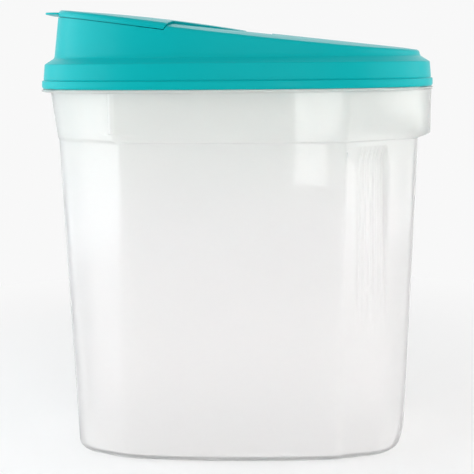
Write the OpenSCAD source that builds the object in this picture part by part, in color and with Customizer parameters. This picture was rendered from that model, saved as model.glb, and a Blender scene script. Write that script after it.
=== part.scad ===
// Cereal container with a flip spout: a tapered container with two ribbed grips at its rear end,
// an oval snap-on lid whose hood rises to a spout at the front end, and a flip cap that closes
// the spout and turns on two trunnion pins in a well of the lid.
//
// +X points to the rear (grip) end, -X to the front (spout) end, +Z up. The origin is on the table
// under the middle of the part. Sizes are in millimetres.

/* [Lid outline] */
// Length over the bead of the lid
lid_l = 238.6; // [225:0.2:260]
// Width over the bead of the lid
lid_w = 159; // [150:1:175]
// Fullness of the oval outlines: 2 is an ellipse, more is squarer
oval_n = 2.5; // [2.3:0.05:2.8]

/* [Container body] */
// Height of the tapered body, from the table to the collar
body_h = 190; // [150:1:230]
// Wall thickness of the container
wall = 1.8; // [1.4:0.1:2.2]
// Thickness of the container's floor
floor_t = 2.2; // [1.8:0.1:3]
// How far the front end of the body, at its top, stands in from the lid's outline
front_inset = 12.4; // [10:0.2:18]
// How far the rear end of the body, at its top, stands in from the lid's outline
rear_inset = 10.3; // [9:0.1:16]
// How far the long sides, at the top edges of their flats, stand in from the lid's outline
side_inset = 11.5; // [10.5:0.5:15]
// Draft of the front end, in degrees
front_draft = 1.8; // [0.5:0.1:3]
// Draft of the rear end, in degrees
rear_draft = 1.7; // [0.5:0.1:3]
// Draft of the long sides, in degrees
side_draft = 1.9; // [0.5:0.1:3]
// Length of the flat on each long side, between its two corner edges
flat_l = 126; // [110:1:136]
// How much further the long flats reach to the front than to the rear
flat_ahead = 2; // [0:0.5:3]
// How much shorter the flats are at the table, at their rear ends
flat_taper = 4; // [0:0.5:6]
// Width of the flat on each end, at the top of the body
end_flat_top = 76; // [66:1:88]
// Width of the flat on each end, at the table
end_flat_low = 92; // [80:1:98]
// How much wider the rear end's flat is at the table than the front end's
rear_flat_more = 8; // [0:0.5:10]
// How far the middle of each long side bows out beyond its edges
side_bow = 3.5; // [1:0.1:4]
// How far the middle of each end bows out beyond its edges
end_bow = 0.8; // [0.5:0.1:3]
// Rounding of the corner edges at the collar, where they are crisp
edge_r_top = 2.5; // [1.5:0.1:8]
// Rounding of the front corner edges at the floor, where they fade out
edge_r_low = 45; // [20:1:60]
// Rounding of the rear corner edges at the floor, beside the grips
rear_r_low = 12; // [6:1:14]
// Rounding of the edges of the two end flats, at the top of the body
end_r_top = 17; // [12:1:22]
// Rounding of the edges of the two end flats, at the table
end_r_low = 26; // [16:1:30]
// Rounding where the walls meet the floor
foot_r = 6; // [4:0.5:9]

/* [Grips] */
// Width of each grip's floor, along its corner facet
grip_w = 20; // [16:0.5:22]
// Width of the flank that leads from the corner edge down to the grip's floor
flank_w = 9; // [7:0.5:10]
// Depth of each grip just under the collar; it runs out downwards
grip_depth = 3.8; // [2.5:0.1:4]
// Length of each grip, from its top edge down to where it runs out
grip_l = 114; // [90:1:130]
// Distance of the grip's top edge below the collar
grip_drop = 2.5; // [2:0.5:8]
// Height of the curved top end of each grip
grip_top_h = 11; // [6:0.5:16]
// Height, below a grip's top edge, over which its flank widens to its full width
flank_rise = 12; // [6:1:20]
// Number of vertical ribs on each grip's floor
rib_count = 5; // [3:1:6]
// Height of each rib
rib_h = 0.7; // [0.4:0.1:1]

/* [Collar and rim] */
// Height of the collar, from its step to the underside of the stop flange
collar_h = 28.6; // [20:0.2:36]
// Height of the step by which the collar leaves the body
step_h = 1.2; // [0.8:0.1:2]
// How far the collar stands out from the body at the corner edges
collar_out = 1.6; // [1:0.1:1.8]
// How far the front corner edges of the collar sit in front of the body's
collar_ahead = 6; // [0:0.5:8]
// How much less the collar stands out at its front end
collar_front = 1; // [0:0.1:1]
// How much further the front end of the collar leans out at the flange than at its step
collar_lean = 4; // [1:0.5:8]
// How much narrower the front end of the collar gets, at each side, up to the flange
collar_narrow = 4; // [0:0.5:6]
// Height of the upright rib on each front corner edge of the collar
collar_rib = 1; // [0.4:0.1:1.4]
// How much higher the lower edge of the collar sits round the rear end
collar_rise = 1.5; // [0:0.1:1.8]
// Inset of the rear end of the collar from the lid's outline
collar_inset = 0.7; // [0.5:0.1:3]
// Thickness of the stop flange that the lid comes down to
flange_t = 1.4; // [1:0.1:2]
// How far the flange stands out beyond the lid's outline
flange_out = 0.2; // [0:0.1:1]
// Height of the lip above the flange, inside the lid's skirt
lip_h = 13; // [9:0.5:16]

/* [Lid] */
// Wall thickness of the lid and the cap
lid_t = 1.6; // [1.2:0.1:2]
// Height of the bead along the bottom of the skirt
bead_h = 5.6; // [3:0.1:7]
// How far the bead stands out from the skirt
bead_out = 1.1; // [0.8:0.1:2]
// Lean of the skirt between its bead and its top edge
skirt_lean = 0.9; // [0.3:0.1:1.2]
// Run of the ledge, from the top edge of the skirt in to the foot of the hood
ledge_run = 6; // [5:0.5:8]
// Rise of the ledge over that run
ledge_rise = 4.4; // [3:0.2:6]
// Rounding of the skirt's top edge and of the hood's foot
ledge_r = 2; // [1:0.1:2.5]
// Depth of the plug wall that reaches into the container's mouth, under the lip's top
plug_h = 7; // [4:0.5:10]

/* [Hood] */
// Height of the hood's ridge above the lid's bottom edge, at the front end of the lid
ridge_front = 48; // [44:0.2:50]
// Height of the hood's ridge above the lid's bottom edge, at the rear end of the lid
ridge_rear = 20.6; // [20:0.2:23]
// Draft of the hood's wall, in degrees
hood_draft = 8; // [5:0.5:12]
// Fall of the hood's top from its ridge to its sides
crown = 3.8; // [2:0.1:5]
// Rounding of the hood's top edge
top_r = 2.6; // [1.5:0.1:3]

/* [Spout and flip cap] */
// How far the cap's full-width part reaches back from the front end of the lid's outline
cap_front_l = 81; // [70:1:86]
// How far the cap's tongue reaches back from the front end of the lid's outline
cap_l = 125.2; // [118:0.2:130]
// Width of the cap's tongue
tongue_w = 84; // [70:1:88]
// Height of the cap's skirt at the front end, from its edge up to the ridge
cap_edge_h = 5.7; // [4:0.1:7]
// Slope of the seat under the cap, in degrees
seat_slope = 7.9; // [6.5:0.1:8.5]
// Lengthwise doming of the cap
cap_dome = 1.7; // [0.5:0.1:3]
// Lean of the cap's edge at its step, over the lid, in degrees
step_lean = 32; // [20:1:40]
// Gap between the cap and the lid all round
cap_gap = 0.4; // [0.3:0.05:0.6]
// Height of the neck that stands round the mouth
neck_h = 1.4; // [0.8:0.1:1.6]
// Distance from the cap's step to the mouth's rear edge
mouth_back = 9; // [7:0.5:14]
// Depth of the cap's plug ring, from the seat down into the mouth
ring_h = 2.4; // [1.5:0.1:3]
// Length of the thumb tab beyond the cap's front edge
tab_l = 8.5; // [6:0.5:12]
// Width of the thumb tab
tab_w = 42; // [30:1:52]
// Thickness of the thumb tab
tab_t = 1.2; // [1:0.1:1.6]

/* [Hinge] */
// Radius of the trunnion pins
pin_r = 1.8; // [1.5:0.1:2.2]
// Length of each pin beyond the cap's ear
pin_l = 4; // [3:0.1:5]
// Radial clearance of a pin in its bore
pin_clear = 0.05; // [0.03:0.01:0.08]
// Distance from the cap's rear edge forward to the pin axis
pin_back = 4.6; // [4.2:0.1:6]
// Height of the pin axis above the seat's plane
pin_up = 1.6; // [1:0.1:2.4]
// Wall of the lid's bosses round the pin bores
boss_wall = 1.2; // [1:0.1:1.4]
// Thickness of each ear of the cap
ear_t = 4; // [3:0.1:5]
// Radius of the ears round the pin axis
ear_r = 3.8; // [3.4:0.1:4.4]
// Distance from the cap's rear edge back to the well's rear wall
well_back = 16; // [12:0.5:20]

/* [Seating] */
// Clearance between the lid and the container, where they face each other
seat_gap = 0.35; // [0.3:0.05:0.5]

/* [Hidden] */
$fn = 64;

// Heights of the container's rim
collar_z = body_h + step_h;
flange_z = collar_z + collar_h - step_h;
shelf_z = flange_z + flange_t;
lip_z = shelf_z + lip_h;

// Half lengths and half widths of the lid, and of the body at the collar
half_l = lid_l / 2;
half_w = lid_w / 2;
front_x = half_l - front_inset;
rear_x = half_l - rear_inset;
side_y = half_w - side_inset;

// Heights and insets of the lid's profile
lid_z = shelf_z + seat_gap;
skirt_in = bead_out + skirt_lean;
roof_z = lip_z + seat_gap;
ledge_z = roof_z + lid_t;
foot_in = skirt_in + ledge_run;
foot_z = ledge_z + ledge_rise;
lip_in = skirt_in + lid_t + seat_gap;
plug_in = lip_in + wall + seat_gap;
plug_low = roof_z - plug_h;
ridge_slope = (ridge_front - ridge_rear) / lid_l;

// Places of the cap and its hinge
step_x = cap_front_l - half_l;
cap_rear_x = cap_l - half_l;
hood_front_x = -half_l + foot_in + (ridge_front - foot_z + lid_z) * tan(hood_draft);
seat_front_z = lid_z + ridge_front - cap_edge_h;
pin_x = cap_rear_x - pin_back;
pin_z = seat_z(pin_x) + pin_up;
well_x0 = pin_x - max(ear_r, norm([pin_back, pin_up])) - 2 * cap_gap;
well_x1 = cap_rear_x + well_back;
sweep_r = norm([pin_back, ridge_z(cap_rear_x) - pin_z]);
well_z = pin_z - max(sweep_r, ear_r) - cap_gap;
tongue_y = tongue_w / 2;
well_y = tongue_y + cap_gap;
boss_l = pin_l + cap_gap + lid_t;
open_below = 1;

// Points on each rounding, round an oval, and along the flats of the body
ARC = 4;
EDGE_ARC = 2;
OVAL = 64;
FLAT = 5;
END = 3;

// ---- Plain helpers ----

function smooth(t) = let (u = min(max(t, 0), 1)) u * u * (3 - 2 * u);
function blend(a, b, t) = a + (b - a) * t;
function unit(v) = v / norm(v);
function turned(v, a) = [v[0] * cos(a) - v[1] * sin(a), v[0] * sin(a) + v[1] * cos(a)];
function lift(points, z) = [for (p = points) [p[0], p[1], z]];

// Arc of radius r that rounds the corner c between p and q, for a loop that turns left
function round_corner(p, c, q, r, steps) =
    let (
        d1 = unit(p - c),
        d2 = unit(q - c),
        turn = 180 - acos(d1 * d2),
        start = c + d1 * r * tan(turn / 2),
        centre = c + unit(d1 + d2) * r / cos(turn / 2)
    )
    [for (i = [0:steps]) centre + turned(start - centre, turn * i / steps)];

// Corner c moved in by s from both of its edges
function inset_corner(p, c, q, s) =
    let (
        n1 = turned(unit(c - p), 90),
        n2 = turned(unit(q - c), 90)
    )
    c + (n1 + n2) * s / (1 + n1 * n2);

// Points between p and q, without either end
function between(p, q, count) = [for (i = [1:count]) blend(p, q, i / (count + 1))];

// The whole loop from its half on the +Y side, which runs from the rear to the front
function both_halves(half) =
    let (m = len(half))
    concat(half, [for (i = [m - 2:-1:1]) [half[i][0], -half[i][1]]]);

// Point of the lid's oval, moved in by s, in the direction of p
function oval_towards(p, s) =
    let (
        a = half_l - s,
        b = half_w - s,
        d = unit([p[0], p[1]]),
        k = pow(abs(d[0]) / a, oval_n) + pow(abs(d[1]) / b, oval_n)
    )
    d / pow(k, 1 / oval_n);

// The lid's oval, moved in by s
function oval(s) =
    let (a = half_l - s, b = half_w - s)
    [for (i = [0:OVAL - 1])
        let (t = 360 * i / OVAL, x = cos(t), y = sin(t))
        [a * sign(x) * pow(abs(x), 2 / oval_n), b * sign(y) * pow(abs(y), 2 / oval_n)]];

// Closed solid through rings of equal length. Each ring mirrors about the XZ plane, so its end is
// closed by strips from side to side.
module loft(rings) {
    n = len(rings[0]);
    m = len(rings);
    top = (m - 1) * n;
    sides = [for (k = [0:m - 2]) for (i = [0:n - 1])
        let (a = k * n + i, b = k * n + (i + 1) % n, c = b + n, d = a + n)
        each [[a, d, c], [a, c, b]]];
    strips = [for (i = [0:n / 2 - 1])
        let (a = i, b = i + 1, c = n - i - 1, d = (n - i) % n)
        each [if (b != c) [a, b, c], if (a != d) [a, c, d]]];
    lids = [for (f = strips) [f[2] + top, f[1] + top, f[0] + top]];
    polyhedron([for (r = rings) each r], concat(sides, strips, lids), convexity = 10);
}

// ---- Container ----

// Depth of a grip at height z: its floor has no draft, so it runs out towards the table
function grip_at(z) =
    let (top = body_h - grip_drop, run = (top - z) / grip_l, up = (top - z) / grip_top_h)
    z > top ? 0 : grip_depth * max(0, 1 - run) * pow(smooth(up), 0.5);

// Share of its full width that a grip's flank has at height z
function flank_share(z) = max(0.2, min(1, (body_h - grip_drop - z) / flank_rise));

// Position of point i of the ribbed floor, measured along the facet from the corner edge
function rib_place(i) = flank_w + grip_w * (i + 0.5) / (2 * rib_count + 1);

// Stations across a grip's facet, from its far edge to the corner edge: [distance, depth share, rib]
grip_step = 1.6;
GRIP = concat(
    [[flank_w + grip_w + grip_step, 0, 0], [flank_w + grip_w, 1, 0]],
    [for (i = [2 * rib_count:-1:0]) [rib_place(i), 1, i % 2]],
    [[flank_w, 1, 0], [flank_w * 0.55, 0.5, 0]]
);

// Place of the front corner edge's middle point in a half outline
RIB_AT = END + 1 + ARC + 1 + 1 + len(GRIP) + EDGE_ARC + 1 + FLAT + EDGE_ARC / 2;

// Half outline of the body at height z, moved in by s; ribs are left off the inner face
function body_half(z, s, ribs, ahead = 0) =
    let (
        drop = body_h - z,
        x0 = -(front_x - drop * tan(front_draft)),
        x1 = rear_x - drop * tan(rear_draft),
        hy = side_y - drop * tan(side_draft),
        e = blend(end_flat_top, end_flat_low, drop / body_h) / 2,
        f = flat_l / 2,
        fade = pow(z / body_h, 0.8),
        r_front = max(blend(edge_r_low, edge_r_top, fade) - s, 0.5),
        r_rear = max(blend(rear_r_low, edge_r_top, fade) - s, 0.5),
        r_end = blend(end_r_top, end_r_low, drop / body_h) - s,
        b = end_bow,
        g = f + flat_ahead + ahead,
        r = f - flat_taper * drop / body_h,
        w = e + rear_flat_more * drop / body_h / 2,
        raw = [[x1 - b, -w], [x1 - b, w], [r, hy], [-g, hy], [x0 + b, e], [x0 + b, -e]],
        c = [for (i = [1:4]) inset_corner(raw[i - 1], raw[i], raw[i + 1], s)],
        ends = [[x1 - b - s, -w], [x0 + b + s, -e]],
        arc_e = round_corner(ends[0], c[0], c[1], r_end, ARC),
        arc_d = round_corner(c[0], c[1], c[2], r_rear, EDGE_ARC),
        arc_c = round_corner(c[1], c[2], c[3], r_front, EDGE_ARC),
        arc_b = round_corner(c[2], c[3], ends[1], r_end, ARC),
        along = unit(c[0] - c[1]),
        inward = turned(along, -90),
        depth = grip_at(z),
        rib = ribs ? min(rib_h, depth * 0.5) : 0,
        widen = flank_share(z),
        room = norm(arc_e[ARC] - c[1]) - 1,
        squeeze = min(1, room / (flank_w + grip_w + grip_step)),
        grip = [for (g = GRIP)
            c[1] + along * g[0] * squeeze * (g[0] > flank_w ? 1 : widen)
                + inward * (depth * g[1] - rib * g[2])],
        loop = concat(
            [for (i = [0:END]) bowed([x1 - s, 0], arc_e[0], i / (END + 1))], arc_e,
            between(arc_e[ARC], grip[0], 1), grip,
            arc_d, between(arc_d[EDGE_ARC], arc_c[0], FLAT), arc_c,
            between(arc_c[EDGE_ARC], arc_b[0], 3), arc_b,
            [for (i = [END:-1:0]) bowed([x0 + s, 0], arc_b[ARC], i / (END + 1))]
        )
    )
    [for (p = loop) [p[0], p[1] + bow_at(p, f)]];

// Point on the bow of an end, a share t of the way from its middle p to the flat's edge q
function bowed(p, q, t) = [blend(p[0], q[0], t * t), q[1] * t];

// The outward bow of a long side at point p
function bow_at(p, f) = p[1] > 0 && abs(p[0]) < f ? side_bow * (1 - pow(p[0] / f, 2)) : 0;

// Share by which the collar follows the oval, at place x: 0 in its front half, 1 round its rear end
function rear_share(x) = smooth((x - flat_l * 0.1) / (flat_l * 0.4));

// Half outline of the collar, moved in by s: lean is 0 at its step and 1 at the flange. Its front
// half keeps the body's flats, with a rib on the corner edge, and its rear half follows the oval.
function collar_half(lean, s, rib) =
    let (plain = body_half(body_h, s - collar_out, false, collar_ahead))
    [for (i = [0:len(plain) - 1])
        let (
            p = plain[i],
            rear = rear_share(p[0]),
            ends = smooth((-p[0] - flat_l / 2) / (front_x - flat_l / 2)),
            proud = i == RIB_AT || i == RIB_AT - 1 ? rib : 0,
            own = [
                p[0] + (collar_front - collar_lean * lean) * ends - proud * 0.3,
                p[1] * (1 - collar_narrow * lean * ends / (end_flat_top / 2)) + proud * 0.95
            ],
            round = oval_towards(p, collar_inset + s)
        )
        [blend(own[0], round[0], rear), blend(own[1], round[1], rear)]];

// Loop of the rim at inset s, in the same directions as the collar's points
function rim_loop(s) = both_halves([for (p = collar_half(1, 0, 0)) oval_towards(p, s)]);

// Heights of the body's rings above its rounded foot
function body_levels(low) =
    let (top = body_h - grip_drop, run_out = top - grip_l)
    [low, run_out, blend(run_out, top, 0.3), blend(run_out, top, 0.6), top - grip_top_h,
        top - grip_top_h * 0.6, top - grip_top_h * 0.3, top - grip_top_h * 0.1, top];

function body_ring(z, s, ribs) = both_halves(body_half(z, s, ribs));
function foot_ring(angle, r, z0, s) =
    lift(body_ring(z0 + r * (1 - cos(angle)), s + r * (1 - sin(angle)), false), z0 + r * (1 - cos(angle)));

module container() {
    color("WhiteSmoke")
        loft(concat(
            // outside, from the table up to the flange
            [for (a = [0:30:60]) foot_ring(a, foot_r, 0, 0)],
            [for (z = body_levels(foot_r)) lift(body_ring(z, 0, true), z)],
            [lift(body_ring(body_h, 0, false), body_h)],
            [[for (p = both_halves(collar_half(0, 0, 0)))
                [p[0], p[1], collar_z + collar_rise * rear_share(p[0])]]],
            [lift(both_halves(collar_half(0.12, 0, 0)), blend(collar_z, flange_z, 0.12))],
            [lift(both_halves(collar_half(0.16, 0, collar_rib)), blend(collar_z, flange_z, 0.16))],
            [lift(both_halves(collar_half(1, 0, collar_rib)), flange_z)],
            // the stop flange and the lip
            [lift(rim_loop(-flange_out), flange_z)],
            [lift(rim_loop(-flange_out), shelf_z)],
            [lift(rim_loop(lip_in), shelf_z)],
            [lift(rim_loop(lip_in), lip_z - wall / 2)],
            [lift(rim_loop(lip_in + wall * 0.15), lip_z - wall * 0.15)],
            [lift(rim_loop(lip_in + wall * 0.5), lip_z)],
            [lift(rim_loop(lip_in + wall * 0.85), lip_z - wall * 0.15)],
            [lift(rim_loop(lip_in + wall), lip_z - wall / 2)],
            [lift(rim_loop(lip_in + wall), shelf_z + 2 * wall)],
            // inside, down to the floor
            [lift(both_halves(collar_half(1, wall, 0)), shelf_z)],
            [lift(both_halves(collar_half(0, wall, 0)), collar_z + wall)],
            [lift(body_ring(body_h, wall, false), body_h + wall * 0.6)],
            [for (i = [8, 6, 4, 3, 2, 1, 0])
                let (z = body_levels(foot_r)[i]) lift(body_ring(z, wall, false), z)],
            [for (a = [60, 30, 0]) foot_ring(a, foot_r - wall, floor_t, wall)]
        ));
}

// ---- Hood: the shape that the lid and its cap share ----

// Heights above the table of the ridge, and of the seat under the cap
function ridge_z(x) = lid_z + blend(ridge_front, ridge_rear, (x + half_l) / lid_l);
function seat_z(x) = seat_front_z - (x - hood_front_x) * tan(seat_slope);

// Height of the hood's top at p, with the cap's doming where dome is more than 0
function top_z(p, dome) =
    let (
        mid = (hood_front_x + cap_rear_x) / 2,
        u = (p[0] - mid) / ((cap_rear_x - hood_front_x) / 2)
    )
    ridge_z(p[0]) - crown * pow(p[1] / (half_w - foot_in), 2) + dome * (1 - u * u);

// Ring on the hood's wall, a share f of the way up from its foot to its rounded top edge. The
// wall's lean moves the ring in by hood_draft at each point's own height.
function wall_ring(f, s, dome) =
    [for (p = oval(foot_in + s))
        let (
            high = top_z(p, dome) - s - top_r,
            z = blend(foot_z, high, f),
            q = leaned(p, z)
        )
        [q[0], q[1], z]];

// Point p of the hood's foot, moved in by the wall's lean up to height z
function leaned(p, z) =
    let (s = (z - foot_z) * tan(hood_draft))
    [p[0] * (1 - s / half_l), p[1] * (1 - s / half_w)];

// Ring on the hood's rounded top edge and, beyond its arc, over its top
function top_ring(angle, s, dome) =
    [for (w = wall_ring(1, s, dome))
        let (m = top_r * (1 - cos(angle)), k = 1 - m / half_w)
        [w[0] * (1 - m / half_l), w[1] * k, w[2] + top_r * sin(angle)]];

function crown_ring(share, s, dome) =
    [for (w = top_ring(90, s, dome))
        let (x = w[0] * blend(1, 0.45, share), y = w[1] * (1 - share * 0.97))
        [x, y, max(top_z([x, y], dome) - s, foot_z)]];

function hood_rings(s, dome) = concat(
    [for (f = [0, 0.5, 1]) wall_ring(f, s, dome)],
    [for (a = [30:30:90]) top_ring(a, s, dome)],
    [for (t = [0.12, 0.35, 0.65, 1]) crown_ring(t, s, dome)]
);

// ---- Lid ----

module lid_outside() {
    loft(concat(
        [for (a = [-90:30:90])
            lift(oval(bead_out * (1 - cos(a))), lid_z + bead_h * (0.45 + 0.45 * sin(a)))],
        [lift(oval(bead_out), lid_z + bead_h)],
        [lift(oval(skirt_in - skirt_lean * 0.2), ledge_z - ledge_r)],
        [lift(oval(skirt_in + ledge_r * 0.15), ledge_z - ledge_r * 0.35)],
        [lift(oval(skirt_in + ledge_r * 0.65), ledge_z + ledge_r * 0.15)],
        [lift(oval(foot_in - ledge_r * 0.65), foot_z - ledge_r)],
        [lift(oval(foot_in - ledge_r * 0.15), foot_z - ledge_r * 0.4)],
        hood_rings(0, 0)
    ));
}

// The hollow under the lid: the channel over the container's lip, the plug wall between the
// channel and the hood, and the room in the hood
module lid_inside() {
    loft(concat(
        [lift(oval(bead_out + lid_t), lid_z - open_below)],
        [lift(oval(bead_out + lid_t), lid_z + bead_h)],
        [lift(oval(lip_in - seat_gap), roof_z)],
        [lift(oval(plug_in), roof_z)],
        [lift(oval(plug_in), plug_low)],
        [lift(oval(plug_in + lid_t), plug_low)],
        [lift(oval(plug_in + lid_t), roof_z)],
        hood_rings(lid_t, 0)
    ));
}

// Everything above the seat's plane, moved down by drop
module above_seat(drop) {
    translate([0, 0, seat_z(0) - drop])
        rotate([0, seat_slope, 0])
            translate([-lid_l, -lid_w, 0])
                cube([2 * lid_l, 2 * lid_w, lid_l]);
}

// Everything in front of the cap's step, which leans back over the lid, moved back by s
module before_step(s) {
    translate([step_x + s, 0, seat_z(step_x)])
        rotate([0, step_lean, 0])
            translate([-2 * lid_l, -lid_w, -lid_l])
                cube([2 * lid_l, 2 * lid_w, 2 * lid_l]);
}

// Everything between x0 and x1, y wide at each side
module strip(x0, x1, y) {
    translate([x0, -y, 0])
        cube([x1 - x0, 2 * y, lid_l + body_h]);
}

// Room that the cap takes out of the hood; grown by s it gives the walls round that room
module cap_room(s) {
    intersection() {
        above_seat(s);
        union() {
            before_step(s);
            strip(step_x, pin_x, well_y + s);
        }
    }
    translate([well_x0 - s, -well_y - s, well_z - s])
        cube([well_x1 - well_x0 + 2 * s, 2 * (well_y + s), lid_l]);
}

// Half loop of the mouth, moved in by s from the hood's wall, in the plane of the seat
function mouth_half(s) =
    let (
        back = step_x - mouth_back - s,
        ring = [for (i = [0:OVAL / 2])
            let (
                p = oval(foot_in + s)[i]
            )
            leaned(p, seat_z(p[0]))],
        kept = [for (q = ring) if (q[0] < back - 6) q],
        corner = [back - 6, kept[0][1] + 1]
    )
    concat(
        [[back, 0], [back, corner[1] * 0.5]],
        [for (a = [0:22.5:90]) [back - 6 + 6 * cos(a), corner[1] - 6 + 6 * sin(a)]],
        kept
    );

// Prism over the mouth's loop, from low to high above the seat's plane
module mouth_prism(s, low, high) {
    loop = both_halves(mouth_half(s));
    translate([0, 0, seat_z(0)])
        rotate([0, seat_slope, 0])
            translate([0, 0, low])
                linear_extrude(high - low)
                    polygon([for (p = loop) [p[0] / cos(seat_slope), p[1]]]);
}

module pin_bores(r, inner, outer) {
    for (side = [-1, 1])
        translate([pin_x, side * (inner + outer) / 2, pin_z])
            rotate([90, 0, 0])
                cylinder(r = r, h = outer - inner, center = true);
}

module lid() {
    neck_in = lid_t + 2 * cap_gap;
    color("LightSeaGreen")
        difference() {
            union() {
                difference() {
                    lid_outside();
                    difference() {
                        lid_inside();
                        cap_room(lid_t);
                    }
                    cap_room(0);
                }
                // neck round the mouth, through the seat
                mouth_prism(neck_in, -lid_t, neck_h);
                // bosses that hold the pin bores
                pin_bores(pin_r + pin_clear + boss_wall, well_y, well_y + boss_l);
            }
            mouth_prism(neck_in + lid_t, -lid_l / 4, neck_h + 1);
            pin_bores(pin_r + pin_clear, well_y - 1, well_y + pin_l + cap_gap);
        }
}

// ---- Flip cap ----

// Outline of the cap in plan, moved in by s, cut from the domed hood above its seat. Moved in, it
// is the cap's hollow, so it runs on below the seat and opens it cleanly
module cap_block(s) {
    intersection() {
        loft(hood_rings(s, cap_dome));
        above_seat(s > 0 ? open_below - cap_gap : -cap_gap);
        union() {
            before_step(-cap_gap - s);
            strip(step_x - 3 * lid_t, cap_rear_x - s, tongue_y - s);
        }
    }
}

module tab() {
    reach = tab_l + 6;
    r = tab_w / 4;
    translate([hood_front_x - tab_l, 0, ridge_z(hood_front_x) - top_r / 2 - tab_t])
        rotate([0, seat_slope / 4, 0])
            linear_extrude(tab_t)
                union() {
                    translate([r, -tab_w / 2])
                        square([reach - r, tab_w]);
                    translate([0, -tab_w / 2 + r])
                        square([reach, tab_w - 2 * r]);
                    for (side = [-1, 1])
                        translate([r, side * (tab_w / 2 - r)])
                            circle(r = r);
                }
}

module ears() {
    for (side = [-1, 1]) {
        translate([pin_x, side * (tongue_y - ear_t / 2), pin_z])
            rotate([90, 0, 0])
                cylinder(r = ear_r, h = ear_t, center = true);
        translate([pin_x - ear_r, side * (tongue_y - ear_t / 2) - ear_t / 2, pin_z])
            cube([2 * ear_r, ear_t, ear_r]);
    }
}

module flip_cap() {
    ring_in = lid_t + 2 * cap_gap + lid_t + cap_gap;
    color("LightSeaGreen")
        union() {
            difference() {
                cap_block(0);
                cap_block(lid_t);
            }
            // plug ring that fills the neck
            difference() {
                mouth_prism(ring_in, -ring_h, cap_edge_h / 2);
                mouth_prism(ring_in + lid_t, -ring_h - 1, cap_edge_h);
            }
            tab();
            ears();
            pin_bores(pin_r, tongue_y - 0.5, tongue_y + pin_l);
        }
}

container();
lid();
flip_cap();
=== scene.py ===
"""Dressed model of a cereal container with a flip spout.

Three mouldings are rebuilt finely in the places of their parts in model.glb: the frosted container
with its two ribbed grips, the oval push-fit lid whose hood rises to the spout, and the flip cap
that turns on two trunnion pins in a well of the lid. +X points to the grips, -X to the spout.
Sizes are in millimetres up to finish_mesh, and in metres from there on and in the studio.
"""

from __future__ import annotations

import logging
import math
from dataclasses import dataclass
from enum import Enum
from typing import Sequence

import bmesh
import bpy
import numpy as np
from mathutils import Matrix, Vector


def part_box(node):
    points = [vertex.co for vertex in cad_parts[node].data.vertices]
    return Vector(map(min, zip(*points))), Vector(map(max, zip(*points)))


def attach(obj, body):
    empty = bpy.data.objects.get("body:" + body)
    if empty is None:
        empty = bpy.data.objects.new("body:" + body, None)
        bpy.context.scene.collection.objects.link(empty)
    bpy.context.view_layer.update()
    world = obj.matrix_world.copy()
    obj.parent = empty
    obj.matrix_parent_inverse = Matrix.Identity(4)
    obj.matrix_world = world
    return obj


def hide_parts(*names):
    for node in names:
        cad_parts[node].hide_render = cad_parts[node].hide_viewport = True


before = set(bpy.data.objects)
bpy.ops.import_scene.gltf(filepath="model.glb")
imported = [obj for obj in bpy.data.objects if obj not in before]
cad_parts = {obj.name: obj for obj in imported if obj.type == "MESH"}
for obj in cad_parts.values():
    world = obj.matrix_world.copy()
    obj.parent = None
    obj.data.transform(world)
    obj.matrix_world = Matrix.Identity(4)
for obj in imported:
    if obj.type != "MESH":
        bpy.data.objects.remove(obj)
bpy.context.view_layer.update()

LOG = logging.getLogger("cereal_container")
MM = 0.001
MERGE_WITHIN, LEAST_EDGE = 0.0008, 0.0005
# Distances from an edge at which a straight stretch has its closest points.
NEAR_EDGE = np.array([0.9, 1.8, 2.8])
# Shares of the way from the hood's rounded edge in to its last ring.
CROWN_SHARES = (0.015, 0.035, 0.06, 0.09, 0.12, 0.17, 0.24, 0.32, 0.41, 0.51, 0.61, 0.71, 0.81,
                0.91, 1.0)
# Marks on the container's points: the place across the ribs, and the ribs' height.
RIB_MARKS = ("rib_place", "rib_height")
Loop = np.ndarray
Solid = bpy.types.Object
Colour = tuple[float, float, float]
Ramp = tuple[float, float]


class Cut(Enum):
    """Ways in which one solid changes another."""

    JOIN = "UNION"
    REMOVE = "DIFFERENCE"
    KEEP = "INTERSECT"


class Side(Enum):
    """The two long sides of the part."""

    LEFT = -1
    RIGHT = 1


# ---- Plane and loop helpers, in millimetres ----


def smooth(t: np.ndarray | float) -> np.ndarray | float:
    """Return the smooth step of t, held between 0 and 1."""
    u = np.clip(t, 0.0, 1.0)
    return u * u * (3.0 - 2.0 * u)


def blend(a: np.ndarray | float, b: np.ndarray | float, t: np.ndarray | float) -> np.ndarray | float:
    """Return the value a share t of the way from a to b."""
    return a + (b - a) * t


def ramp(x: np.ndarray | float, start: float, run: float) -> np.ndarray | float:
    """Return the smooth step of x, 0 at start and 1 at a run past it."""
    return smooth((x - start) / run)


def tangent(degrees: float) -> float:
    """Return the tangent of an angle in degrees."""
    return math.tan(math.radians(degrees))


def unit(v: np.ndarray) -> np.ndarray:
    """Return v at length 1."""
    return v / np.linalg.norm(v)


def distance(p: np.ndarray, q: np.ndarray) -> float:
    """Return the distance between two points."""
    return float(np.linalg.norm(p - q))


def turned(v: np.ndarray, degrees: float) -> np.ndarray:
    """Return the plane vector v turned to the left by an angle."""
    c, s = math.cos(math.radians(degrees)), math.sin(math.radians(degrees))
    return np.array([v[0] * c - v[1] * s, v[0] * s + v[1] * c])


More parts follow.
